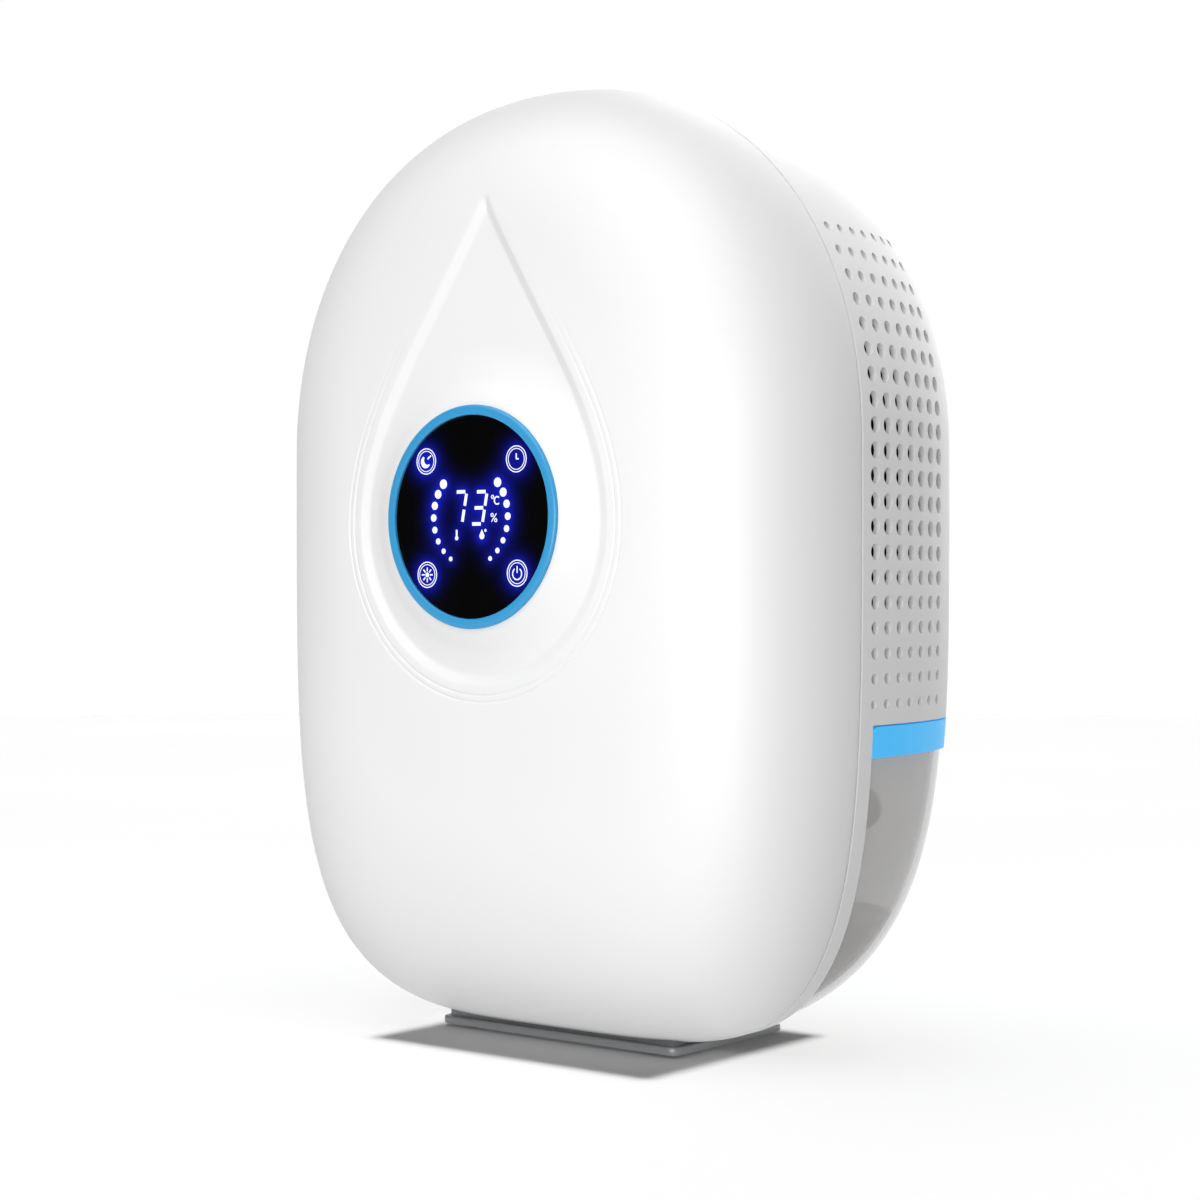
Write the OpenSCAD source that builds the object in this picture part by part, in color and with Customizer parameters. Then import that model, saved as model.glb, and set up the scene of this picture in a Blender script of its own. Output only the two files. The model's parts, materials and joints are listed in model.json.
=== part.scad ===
// Oval Peltier dehumidifier with a pull-out water tank.
// Millimetres. +Z is up, the front faces -Y, and the origin is on the floor under the middle.

/* [Body] */
// Width of the body at the seam
body_w = 254; // [240:1:270]
// Height of the top of the body above the floor
body_h = 360; // [350:1:380]
// Height of the widest point of the body
centre_z = 223.4; // [215:0.1:230]
// Depth of the front cover, from the seam to the flat face
cover_d = 63; // [58:1:70]
// Depth of the rear shell, from the seam to the flat back
rear_d = 99.5; // [96:0.5:110]
// How far the front edge rolls in at the sides and top
cover_roll = 59.4; // [50:0.1:65]
// How far the front edge rolls in at the bottom
cover_roll_low = 86; // [70:1:90]
// How far the back edge rolls in at the sides and top
rear_roll = 39.3; // [30:0.1:45]
// How far the back edge rolls in at the bottom
rear_roll_low = 72; // [50:1:80]
// Thickness of the moulded shells
wall = 2.5; // [2:0.1:3]

/* [Side vents] */
// Rows of holes on each side
vent_rows = 20; // [10:1:20]
// Columns of holes on each side
vent_cols = 7; // [3:1:7]
// Height of the lowest row
vent_low_z = 130; // [130:1:135]
// Spacing of the rows
vent_pitch_z = 9; // [8:0.1:9]
// Spacing of the columns
vent_pitch_y = 8.8; // [8:0.1:9]
// Diameter of the holes in the middle rows
vent_d_mid = 6.1; // [4:0.1:6.5]
// Diameter of the holes in the end rows
vent_d_end = 3.2; // [2.5:0.1:4]

/* [Display] */
// Height of the middle of the round display
display_z = 197; // [190:1:205]
// Outer diameter of the ring round the display
ring_d = 81.4; // [78:0.2:84]
// Width of the ring
ring_w = 3.7; // [3:0.1:5]
// How far the ring stands out of the face
ring_proud = 1.5; // [1:0.1:2]
// Depth of the teardrop recess in the face
recess_deep = 0.9; // [0.5:0.1:1.2]
// Radius of the round bowl of the teardrop recess
recess_r = 58; // [50:1:60]
// Height of the teardrop's tip above the middle of the display
recess_tip = 114; // [90:1:116]

/* [Water tank] */
// Height of the underside of the shell above the tank
bay_top_z = 122.5; // [118:0.5:124]
// Height of the band round the top of the tank
band_h = 11; // [9:0.5:13]
// Thickness of the tank wall
tank_wall = 2.2; // [1.8:0.1:2.6]
// Distance from the seam to the front edge of the tank
tank_setback = 8.5; // [8:0.5:10]
// How far the tank pulls out
tank_travel = 100; // [60:5:120]

/* [Fan and cooling] */
// Height of the fan's axis
fan_z = 223; // [220:1:226]
// Side of the square fan frame
fan_size = 92; // [92:1:92]
// Radius of the fan blades
blade_r = 42.3; // [40:0.1:42.6]
// Number of fan blades
blades = 7; // [5:1:9]
// Side of the thermoelectric module
peltier_size = 40; // [30:1:40]

/* [Base] */
// Width of the base plate
base_w = 115; // [110:1:120]
// Depth of the base plate
base_d = 70; // [66:1:74]

/* [Hidden] */

$fn = 48;
far = 400;                                   // longer than the whole body
half_w = body_w / 2;
foot_h = 1;                                  // how far the feet stand out under the plate
foot_r = 6;
base_y = 1;                                  // middle of the base plate
plate_h = 3;
plate_top = foot_h + plate_h;
body_low_z = 3;                              // lowest point of the untrimmed oval
up_h = body_h - centre_z;
down_h = centre_z - body_low_z;
top_power = 2.1;                             // squareness of the top half of the outline
low_power = 4.35;                            // squareness of the bottom half
cover_power = 2;                             // squareness of the rolled front edge
rear_power = 2.4;                            // squareness of the rolled back edge
ring_count = 7;                              // steps in each rolled edge
point_count = 72;                            // points round the outline

total_d = cover_d + rear_d + ring_proud;
face_y = -total_d / 2 + ring_proud;
seam_y = face_y + cover_d;
rear_y = seam_y + rear_d;
seam_gap = 0.3;                              // half the width of the seam line

frame_t = 2.4;
frame_y = seam_y - frame_t / 2;              // front of the middle frame
frame_back = frame_y + frame_t;
bay_y = seam_y + tank_setback;               // back of the wall in front of the tank
tank_y = bay_y + 0.5;                        // front of the tank
tank_shrink = 1.5;                           // tank surface inside the body surface
tank_low_z = plate_top + 0.2;
band_top = bay_top_z - 0.6;
band_low = band_top - band_h;
band_t = 3.5;
lid_t = 2.6;
lid_low = band_top - lid_t;

grip_w = 84;
grip_d = 12;
grip_low_z = band_low - 25;

ring_r = ring_d / 2;
lens_r = ring_r - ring_w;
collar_r = lens_r + 1.7;
inner_face_y = face_y + wall;
screw_y = seam_y + 3.5;                      // seats of the case screw heads
case_screw_sites = [[62, 282], [74, 148], [85, 60]];
display_screw_angles = [90, 210, 330];
base_screw_x = [-30, 30];
base_screw_y = seam_y - 5;

cold_y = 12;                                 // front of the cold sink's base
cold_base_t = 4;
peltier_y = cold_y + cold_base_t;
peltier_t = 3.6;
hot_y = peltier_y + peltier_t;
hot_base_t = 5;
hot_fin_d = 21.4;
fan_y = hot_y + hot_base_t + hot_fin_d + 1;
fan_d = 25;
fan_hole = 41.25;                            // half the spacing of the fan's screw holes
spout_y = 4;
jack_x = -62;
jack_z = 142;
float_x = 40;
float_y = 26;
float_z = 105;
plug_x = 64;
plug_z = 84;
plug_r = 5;
pcb_y = -42;
pcb_z = 112;

// ---- helpers -------------------------------------------------------------------------------

// Distance from the middle to a superellipse in the direction a
function oval_r(a, w, up, down) =
    let (n = sin(a) >= 0 ? top_power : low_power, h = sin(a) >= 0 ? up : down)
    pow(pow(abs(cos(a)) / w, n) + pow(abs(sin(a)) / h, n), -1 / n);

// One outline of the body at depth y, pulled in by side and low
function oval_ring(y, side, low) =
    [for (i = [0:point_count - 1])
        let (a = 360 * i / point_count, r = oval_r(a, half_w - side, up_h - side, down_h - low))
        [r * cos(a), y, centre_z + r * sin(a)]];

// The front (dir = -1) or back (dir = 1) of the body, pulled in all over by shrink
module half_body(dir, shrink = 0) {
    power = dir < 0 ? cover_power : rear_power;
    side_roll = (dir < 0 ? cover_roll : rear_roll) - shrink;
    low_roll = (dir < 0 ? cover_roll_low : rear_roll_low) - shrink;
    depth = (dir < 0 ? cover_d : rear_d) - seam_gap - shrink;
    rings = [for (k = [0:ring_count])
        let (a = 90 * k / ring_count,
             out = pow(sin(a), 2 / power),
             in = 1 - pow(max(cos(a), 0), 2 / power))
        oval_ring(seam_y + dir * (seam_gap + depth * out), shrink + side_roll * in, shrink + low_roll * in)];
    points = [for (ring = rings) each ring];
    sides = [for (k = [0:ring_count - 1], i = [0:point_count - 1])
        let (a = k * point_count + i, b = k * point_count + (i + 1) % point_count)
        each [[a, b, b + point_count], [a, b + point_count, a + point_count]]];
    near_cap = [for (i = [point_count - 1:-1:0]) i];
    far_cap = [for (i = [0:point_count - 1]) ring_count * point_count + i];
    faces = concat(sides, [near_cap], [far_cap]);
    polyhedron(points, dir > 0 ? faces : [for (f = faces) [for (i = [len(f) - 1:-1:0]) f[i]]]);
}

// A box given by its two corners
module block(low, high) {
    translate(low) cube(high - low);
}

// A round bar along +Y
module bar(x, y0, y1, z, r) {
    translate([x, y0, z]) rotate([-90, 0, 0]) cylinder(r = r, h = y1 - y0);
}

// A tube along +Y
module tube(x, y0, y1, z, r, bore) {
    difference() {
        bar(x, y0, y1, z, r);
        bar(x, y0 - 1, y1 + 1, z, bore);
    }
}

// Children at the two mirrored sides
module both_sides() {
    children();
    mirror([1, 0, 0]) children();
}

// Children at the four corners of a rectangle in the XZ plane
module four(dx, dz, z) {
    for (sx = [-1, 1], sz = [-1, 1]) translate([sx * dx, 0, z + sz * dz]) children();
}

// A screw whose head sits at y = 0 and whose thread runs toward -Y
module screw(head_r, head_h, r, l) {
    difference() {
        bar(0, 0, head_h, 0, head_r);
        block([-head_r * 0.6, head_h - 0.8, -0.4], [head_r * 0.6, head_h + 1, 0.4]);
        block([-0.4, head_h - 0.8, -head_r * 0.6], [0.4, head_h + 1, head_r * 0.6]);
    }
    bar(0, -l, 0, 0, r);
}

// Everything above the tank bay, or in front of it, kept inside by t
module above_bay(t = 0) {
    block([-far, -far, -1], [far, bay_y - t, far]);
    block([-far, -far, bay_top_z + t], [far, far, far]);
}

// ---- shells --------------------------------------------------------------------------------

// Teardrop outline round the display: a round bowl drawn up to a blunt tip
module teardrop() {
    tip_r = 2.5;
    bowl_r = recess_r - tip_r;
    steps = 16;
    flank = [for (i = [0:steps])
        let (v = i / steps) [bowl_r * pow(1 - v * v, 1.8), (recess_tip - tip_r) * v]];
    offset(tip_r) union() {
        circle(bowl_r);
        polygon(concat(flank, [for (i = [steps - 1:-1:0]) [-flank[i][0], flank[i][1]]]));
    }
}

module teardrop_recess() {
    translate([0, face_y + recess_deep, display_z - 2]) rotate([90, 0, 0])
        linear_extrude(recess_deep + 5) teardrop();
}

module front_cover() {
    color("white") {
        difference() {
            half_body(-1);
            half_body(-1, wall);
            block([-half_w, seam_y - 1, -1], [half_w, seam_y, body_h + 1]);
            bar(0, face_y - 5, face_y + 10, display_z, collar_r + 0.1);
            block([-far, -far, -1], [far, far, plate_top]);
            teardrop_recess();
            for (x = base_screw_x) translate([x, base_screw_y, 0]) cylinder(r = 1.45, h = plate_top + 8);
        }
        difference() {
            intersection() {
                both_sides() for (s = case_screw_sites) bar(s[0], face_y, frame_y, s[1], 4);
                union() {
                    half_body(-1, wall / 2);
                    block([-half_w, seam_y - 2, 0], [half_w, seam_y, body_h]);
                }
            }
            both_sides() for (s = case_screw_sites) bar(s[0], frame_y - 14, seam_y + 1, s[1], 1.45);
        }
        for (a = display_screw_angles)
            tube(45 * cos(a), inner_face_y - 0.5, face_y + 7.5, display_z + 45 * sin(a), 3, 1.05);
        for (x = base_screw_x) translate([x, base_screw_y, plate_top + wall / 2]) difference() {
            cylinder(r = 3, h = 7);
            translate([0, 0, -1]) cylinder(r = 1.45, h = 7);
        }
    }
}

module vent_holes() {
    for (row = [0:vent_rows - 1], col = [0:vent_cols - 1]) {
        d = vent_d_end + (vent_d_mid - vent_d_end) * sin(180 * (row + 0.5) / vent_rows);
        translate([half_w - rear_roll, bay_y + vent_pitch_y * col, vent_low_z + vent_pitch_z * row])
            rotate([0, 90, 0]) cylinder(d = d, h = rear_roll + 5, $fn = 24);
    }
}

module rear_shell() {
    color("white") {
        difference() {
            intersection() {
                half_body(1);
                above_bay();
            }
            intersection() {
                half_body(1, wall);
                above_bay(wall);
            }
            block([-half_w, seam_y, -1], [half_w, seam_y + 1, body_h + 1]);
            block([-far, -far, -1], [far, far, plate_top]);
            both_sides() vent_holes();
            bar(0, rear_y - 10, rear_y + 5, fan_z, 46);
            bar(0, rear_y - 1.5, rear_y + 5, fan_z, 50.2);
            bar(jack_x, rear_y - 10, rear_y + 5, jack_z, 5.6);
            translate([0, spout_y, bay_top_z - 1]) cylinder(r = 7.2, h = 5);
            both_sides() for (s = case_screw_sites) bar(s[0], screw_y, rear_y + 5, s[1], 3.3);
        }
        difference() {
            intersection() {
                union() {
                    half_body(1, 0.5);
                    block([-half_w, seam_y, 0], [half_w, seam_y + 2, body_h]);
                }
                both_sides() for (s = case_screw_sites) bar(s[0], frame_back, far, s[1], 4.8);
                above_bay();
            }
            both_sides() for (s = case_screw_sites) {
                bar(s[0], screw_y, rear_y + 5, s[1], 3.3);
                bar(s[0], seam_y - 1, rear_y + 5, s[1], 1.6);
            }
        }
    }
}

module outlet_grille() {
    grille_y = rear_y - 3;
    color("white") {
        tube(0, rear_y - 1.5, rear_y, fan_z, 50, 45);
        tube(0, grille_y, rear_y, fan_z, 45.8, 43);
        for (r = [13:7.5:43]) tube(0, grille_y, rear_y, fan_z, r + 1, r - 1);
        bar(0, grille_y, rear_y, fan_z, 8);
        difference() {
            for (a = [0:45:179]) translate([0, grille_y + 0.5, fan_z]) rotate([0, a, 0])
                translate([-44, 0, -1]) cube([88, 2, 2]);
            bar(0, grille_y - 1, rear_y + 1, fan_z, 7);
        }
    }
}

module base_plate() {
    corner_r = 4;
    plinth_w = base_w - 6;
    color("silver") difference() {
        union() {
            translate([0, base_y, foot_h]) linear_extrude(plate_h)
                offset(corner_r) square([base_w - 2 * corner_r, base_d - 2 * corner_r], center = true);
            block([-plinth_w / 2, base_y - base_d / 2 + 3, plate_top - 1],
                  [plinth_w / 2, bay_y - 1, plate_top + 8]);
        }
        half_body(-1);
        half_body(1);
        block([-half_w, seam_y - 0.5, plate_top], [half_w, seam_y + 0.5, body_h]);
        foot_sites() translate([0, 0, -1]) cylinder(r = foot_r, h = foot_h + 2);
        for (x = base_screw_x) {
            translate([x, base_screw_y, 0]) cylinder(r = 3.2, h = foot_h + 1.6);
            translate([x, base_screw_y, 0]) cylinder(r = 1.6, h = 20);
        }
    }
}

// Children at the four feet
module foot_sites() {
    for (x = [-1, 1], y = [-1, 1]) translate([x * 44, base_y + y * 24, 0]) children();
}

module rubber_feet() {
    color("dimgray") foot_sites() cylinder(r = foot_r, h = foot_h + 1);
}

module base_screws() {
    color("silver") for (x = base_screw_x) translate([x, base_screw_y, foot_h + 1.6])
        rotate([-90, 0, 0]) screw(3, 1.2, 1.4, 7);
}

module case_screws() {
    color("silver") both_sides() for (s = case_screw_sites)
        translate([s[0], screw_y, s[1]]) screw(3, 2, 1.4, 16);
}

// ---- display -------------------------------------------------------------------------------

module display_bezel() {
    color("deepskyblue") {
        tube(0, face_y - ring_proud, face_y, display_z, ring_r, lens_r);
        tube(0, face_y, face_y + 6, display_z, collar_r, lens_r);
    }
}

module display_lens() {
    color("black") bar(0, face_y - 0.7, face_y + 1.3, display_z, lens_r - 0.1);
}

module display_light_guide() {
    color("ghostwhite") difference() {
        bar(0, face_y + 1.3, face_y + 4.3, display_z, lens_r - 0.4);
        for (x = [-8, 8]) block([x - 6, face_y, display_z - 10], [x + 6, face_y + 5, display_z + 12]);
        for (sx = [-1, 1], sz = [-1, 1])
            bar(sx * 20, face_y, face_y + 5, display_z + sz * 21, 4.8);
    }
}

module display_pcb() {
    color("darkgreen") bar(0, face_y + 4.3, face_y + 5.9, display_z, lens_r - 1);
    color("black") {
        block([-9, face_y + 5.9, display_z - 6], [9, face_y + 8.4, display_z + 8]);
        block([-6, face_y + 5.9, display_z - 30], [6, face_y + 10, display_z - 24]);
    }
}

module display_holder() {
    holder_y = face_y + 7.5;
    color("whitesmoke") {
        tube(0, holder_y, holder_y + 2, display_z, 40, 31);
        tube(0, face_y + 6.1, holder_y, display_z, collar_r, 34.5);
        for (a = display_screw_angles)
            tube(45 * cos(a), holder_y, holder_y + 2, display_z + 45 * sin(a), 5.4, 1.3);
    }
}

module display_screws() {
    color("silver") for (a = display_screw_angles)
        translate([45 * cos(a), face_y + 9.5, display_z + 45 * sin(a)]) screw(2.2, 1.4, 1, 5.5);
}

// ---- frame and cooling -----------------------------------------------------------------------

module mid_frame() {
    outline = [for (p = oval_ring(0, wall + 0.2, wall + 0.2)) [p[0], p[2]]];
    color("gainsboro") {
        difference() {
            translate([0, frame_back, 0]) rotate([90, 0, 0]) linear_extrude(frame_t) polygon(outline);
            block([-far, -far, -1], [far, far, plate_top + 8]);
            both_sides() for (s = case_screw_sites) bar(s[0], frame_y - 1, frame_back + 1, s[1], 1.7);
            bar(-74, frame_y - 1, frame_back + 1, 170, 5);
            for (x = [-34:17:34]) block([x - 5, frame_y - 1, 296], [x + 5, frame_back + 1, 330]);
        }
        four(42, 32, pcb_z) tube(0, pcb_y + 1.6, frame_y, 0, 3, 1.05);
    }
}

module fan_posts() {
    color("gray") four(fan_hole, fan_hole, fan_z) {
        bar(0, frame_back, fan_y, 0, 3);
    }
}

module cold_heatsink() {
    fins = 12;
    pitch = 5;
    color("lightgray") {
        difference() {
            block([-30, cold_y, fan_z - 50], [30, cold_y + cold_base_t, fan_z + 50]);
            four(22, 45, fan_z) bar(0, cold_y - 1, peltier_y + 1, 0, 1.6);
        }
        for (i = [0:fins - 1]) {
            x = (i - (fins - 1) / 2) * pitch;
            block([x - 0.6, cold_y - 20, fan_z - 40], [x + 0.6, cold_y, fan_z + 40]);
        }
    }
}

module peltier_module() {
    h = peltier_size / 2;
    cells = 7;
    pitch = (peltier_size - 4) / cells;
    color("white") for (y = [peltier_y, hot_y - 0.8]) block([-h, y, fan_z - h], [h, y + 0.8, fan_z + h]);
    color("dimgray") for (i = [0:cells - 1], j = [0:cells - 1])
        translate([-h + 2 + pitch * (i + 0.5), 0, fan_z - h + 2 + pitch * (j + 0.5)])
            block([-1.4, peltier_y + 0.8, -1.4], [1.4, hot_y - 0.8, 1.4]);
}

module insulation_gasket() {
    h = peltier_size / 2 + 0.5;
    color("black") difference() {
        block([-30, peltier_y, fan_z - 38], [30, hot_y, fan_z + 38]);
        block([-h, peltier_y - 1, fan_z - h], [h, hot_y + 1, fan_z + h]);
    }
}

module hot_heatsink() {
    fins = 17;
    pitch = 4.5;
    base_h = fan_size / 2;
    fin_y = hot_y + hot_base_t;
    color("silver") {
        difference() {
            block([-base_h, hot_y, fan_z - base_h], [base_h, hot_y + hot_base_t, fan_z + base_h]);
            four(fan_hole, fan_hole, fan_z) bar(0, hot_y - 1, hot_y + hot_base_t + 1, 0, 3.05);
            four(22, 45, fan_z) bar(0, hot_y - 1, hot_y + hot_base_t + 1, 0, 1.45);
        }
        for (i = [0:fins - 1]) {
            x = (i - (fins - 1) / 2) * pitch;
            block([x - 0.6, fin_y, fan_z - 44], [x + 0.6, fin_y + hot_fin_d, fan_z + 44]);
        }
    }
}

module clamp_screws() {
    color("silver") four(22, 45, fan_z) translate([0, cold_y, 0])
        rotate([0, 0, 180]) screw(2.8, 2, 1.4, 12);
}

module fan_frame() {
    h = fan_size / 2;
    color("black") {
        difference() {
            translate([0, fan_y + fan_d, fan_z]) rotate([90, 0, 0]) linear_extrude(fan_d) difference() {
                square([fan_size, fan_size], center = true);
                circle(blade_r + 1.2, $fn = 96);
                for (x = [-1, 1], y = [-1, 1]) translate([x * fan_hole, y * fan_hole]) circle(2.2);
            }
            for (a = [0, 90, 180, 270]) translate([0, 0, fan_z]) rotate([0, a, 0])
                block([-30, fan_y + 5, h - 1], [30, fan_y + fan_d - 5, h + 1]);
        }
        tube(0, fan_y + fan_d - 3, fan_y + fan_d, fan_z, 18, 4);
        for (a = [45, 135, 225, 315]) translate([0, 0, fan_z]) rotate([0, a, 0])
            block([17, fan_y + fan_d - 3, -2.5], [blade_r + 2, fan_y + fan_d - 0.5, 2.5]);
    }
}

module fan_bearing() {
    color("goldenrod") tube(0, fan_y + 8, fan_y + fan_d, fan_z, 4, 1.55);
}

module fan_stator() {
    color("peru") tube(0, fan_y + 9, fan_y + fan_d - 3.5, fan_z, 6.5, 4);
    color("peru") for (a = [45:90:315]) translate([0, 0, fan_z]) rotate([0, a, 0])
        block([6, fan_y + 10, -4], [13.5, fan_y + fan_d - 4.5, 4]);
}

module fan_rotor() {
    hub_y = fan_y + 2;
    hub_d = fan_d - 6;
    color("dimgray") {
        difference() {
            bar(0, hub_y, hub_y + hub_d, fan_z, 17.5);
            bar(0, hub_y + 2, hub_y + hub_d + 1, fan_z, 15.5);
        }
        bar(0, hub_y + 1, fan_y + fan_d - 1, fan_z, 1.5);
        intersection() {
            for (k = [0:blades - 1]) translate([0, hub_y + hub_d / 2, fan_z])
                rotate([0, k * 360 / blades, 0]) rotate([40, 0, 0])
                    translate([10, -12, -0.8]) cube([blade_r, 24, 1.6]);
            tube(0, hub_y + 0.5, hub_y + hub_d - 0.5, fan_z, blade_r, 17);
        }
    }
}

module fan_screws() {
    color("silver") four(fan_hole, fan_hole, fan_z) translate([0, fan_y + fan_d, 0])
        screw(3.6, 2, 2.1, fan_d);
}

module drip_funnel() {
    top_z = fan_z - 53;
    module bowl(t) {
        hull() {
            block([-34 + t, -9 + t, top_z - 6], [34 - t, 17 - t, top_z + (t > 0 ? 1 : 0)]);
            translate([0, spout_y, top_z - 26]) cylinder(r = 6.5 - t, h = 1, $fn = 32);
        }
    }
    color("whitesmoke") difference() {
        union() {
            bowl(0);
            translate([0, spout_y, bay_top_z + 0.1]) cylinder(r = 6.5, h = top_z - 25 - bay_top_z);
        }
        bowl(1.5);
        translate([0, spout_y, bay_top_z - 1]) cylinder(r = 5, h = top_z - 20 - bay_top_z);
    }
}

// ---- electronics -----------------------------------------------------------------------------

module main_pcb() {
    color("darkgreen") difference() {
        block([-48, pcb_y, pcb_z - 38], [48, pcb_y + 1.6, pcb_z + 38]);
        four(42, 32, pcb_z) bar(0, pcb_y - 1, pcb_y + 3, 0, 1.3);
    }
}

module power_components() {
    color("dimgray") {
        for (x = [-24, -8]) bar(x, pcb_y - 14, pcb_y, pcb_z - 18, 5);
        tube(14, pcb_y - 8, pcb_y, pcb_z - 16, 9, 4);
        block([-36, pcb_y - 6, pcb_z + 14], [-22, pcb_y, pcb_z + 24]);
        block([-6, pcb_y - 6, pcb_z + 24], [8, pcb_y, pcb_z + 31]);
        block([-2, pcb_y - 2, pcb_z - 2], [10, pcb_y, pcb_z + 10]);
        block([26, pcb_y - 12, pcb_z - 4], [30, pcb_y, pcb_z + 12]);
    }
}

module pcb_screws() {
    color("silver") four(42, 32, pcb_z) translate([0, pcb_y, 0]) rotate([0, 0, 180]) screw(2.5, 1.6, 1, 8);
}

module water_sensor() {
    color("darkgreen") block([float_x - 12, frame_back, 92], [float_x + 12, frame_back + 0.8, 104]);
    color("lightgray") block([float_x - 7, frame_back + 0.8, 96], [float_x + 7, frame_back + 1.5, 100]);
}

module humidity_sensor() {
    color("darkgreen") block([98, frame_back, 196], [104, frame_back + 16, 197.2]);
    color("white") block([98.5, frame_back + 10, 197.2], [103.5, frame_back + 15, 199]);
}

module dc_jack() {
    back = rear_y - 0.5;
    color("black") {
        block([jack_x - 6, back - 22, jack_z - 6], [jack_x + 6, back - 11, jack_z + 6]);
        tube(jack_x, back - 11, back, jack_z, 5.5, 2.9);
        bar(jack_x, back - 12, back - 1, jack_z, 1.05);
    }
}

module power_harness() {
    sheath_r = 1.6;
    route = [[jack_x, rear_y - 22.5 - sheath_r, jack_z], [-72, 30, 158], [-74, 0, 170], [-74, -24, 170],
             [-60, -47, 160], [-29, -50, 148], [-29, -45, pcb_z + 24 + sheath_r]];
    color("black") for (i = [0:len(route) - 2]) hull() {
        translate(route[i]) sphere(r = sheath_r, $fn = 12);
        translate(route[i + 1]) sphere(r = sheath_r, $fn = 12);
    }
}

module display_ribbon() {
    top_y = face_y + 10;
    color("gray") translate([-5, 0, 0]) rotate([90, 0, 90]) linear_extrude(10)
        polygon([[top_y, display_z - 28], [top_y + 6, display_z - 32], [pcb_y - 6, pcb_z + 30],
                 [pcb_y - 6, pcb_z + 28.6], [top_y + 5.6, display_z - 33], [top_y, display_z - 29]]);
}

// ---- water tank ------------------------------------------------------------------------------

module water_tank() {
    color("lightgray", 0.5) difference() {
        union() {
            difference() {
                intersection() {
                    half_body(1, tank_shrink);
                    block([-far, tank_y, tank_low_z], [far, far, band_low]);
                }
                intersection() {
                    half_body(1, tank_shrink + tank_wall);
                    block([-far, tank_y + tank_wall, tank_low_z + tank_wall], [far, far, band_low + 1]);
                }
            }
            difference() {
                grip_block(tank_wall);
                block([-far, rear_y - tank_shrink - 1, 0], [far, far, far]);
                block([-far, rear_y - band_t - 0.8, band_low], [far, far, far]);
            }
            bar(plug_x, rear_y - 8, rear_y - tank_shrink, plug_z, 8);
        }
        grip_block(0);
        bar(plug_x, rear_y - 10, rear_y + 1, plug_z, plug_r + 0.05);
    }
}

// The finger pocket under the band, with walls of thickness t
module grip_block(t) {
    block([-grip_w / 2 - t, rear_y - tank_shrink - grip_d - t, grip_low_z - t],
          [grip_w / 2 + t, rear_y + (t > 0 ? 0 : 5), t > 0 ? lid_low - 0.1 : lid_low + 5]);
}

module tank_band() {
    color("deepskyblue") difference() {
        intersection() {
            half_body(1, 0);
            block([-far, tank_y - 0.2, band_low], [far, far, band_top]);
        }
        half_body(1, band_t);
        both_sides() difference() {
            block([-far, tank_y - 1, band_top - 3], [0, tank_y + 2.8, band_top + 1]);
            translate([-far, tank_y + 2.8, band_top - 3]) rotate([0, 90, 0]) cylinder(r = 3, h = far);
        }
    }
}

module tank_lid() {
    color("whitesmoke") {
        difference() {
            intersection() {
                half_body(1, band_t + 0.1);
                block([-far, tank_y, lid_low], [far, far, band_top]);
            }
            translate([0, spout_y + 2, lid_low - 1]) cylinder(r = 11, h = lid_t + 2);
        }
        for (x = [float_x - 7, float_x + 7]) difference() {
            block([x - 1.2, float_y - 4, float_z - 4], [x + 1.2, float_y + 4, lid_low + 0.5]);
            translate([x - 5, float_y, float_z]) rotate([0, 90, 0]) cylinder(r = 1.55, h = 10);
        }
    }
}

module float_pin() {
    color("silver") translate([float_x - 9.5, float_y, float_z])
        rotate([0, 90, 0]) cylinder(r = 1.5, h = 19);
}

module tank_float() {
    color("ivory") difference() {
        union() {
            translate([float_x - 5, float_y, float_z]) rotate([0, 90, 0]) cylinder(r = 3.5, h = 10);
            translate([float_x - 3, 0, 0]) rotate([90, 0, 90]) linear_extrude(6)
                translate([float_y, float_z]) polygon([[-3, 1], [1, -3.2], [-12, -16], [-16, -12]]);
            block([float_x - 13, float_y - 22, float_z - 22], [float_x + 13, float_y - 10, float_z - 10]);
        }
        translate([float_x - 10, float_y, float_z]) rotate([0, 90, 0]) cylinder(r = 1.55, h = 20);
        magnet_block();
    }
}

module magnet_block() {
    block([float_x - 4, float_y - 21, float_z - 20], [float_x + 4, float_y - 18, float_z - 12]);
}

module float_magnet() {
    color("dimgray") magnet_block();
}

module drain_plug() {
    color("dimgray") {
        bar(plug_x, rear_y - 9, rear_y - tank_shrink, plug_z, plug_r);
        bar(plug_x, rear_y - tank_shrink, rear_y, plug_z, 8.5);
    }
}

// ---- drawing -----------------------------------------------------------------------------------

front_cover();
display_bezel();
display_lens();
display_light_guide();
display_pcb();
display_holder();
display_screws();
rear_shell();
outlet_grille();
mid_frame();
base_plate();
rubber_feet();
base_screws();
case_screws();
cold_heatsink();
peltier_module();
insulation_gasket();
hot_heatsink();
clamp_screws();
fan_posts();
fan_frame();
fan_bearing();
fan_stator();
fan_rotor();
fan_screws();
drip_funnel();
main_pcb();
power_components();
pcb_screws();
water_sensor();
humidity_sensor();
dc_jack();
power_harness();
display_ribbon();
water_tank();
tank_band();
tank_lid();
tank_float();
float_magnet();
float_pin();
drain_plug();
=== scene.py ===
"""Looks of an oval Peltier dehumidifier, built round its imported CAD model.

The pieces are worked out in millimetres, in the frame of the CAD model, and are made in metres.
"""
import json
import math

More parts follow.
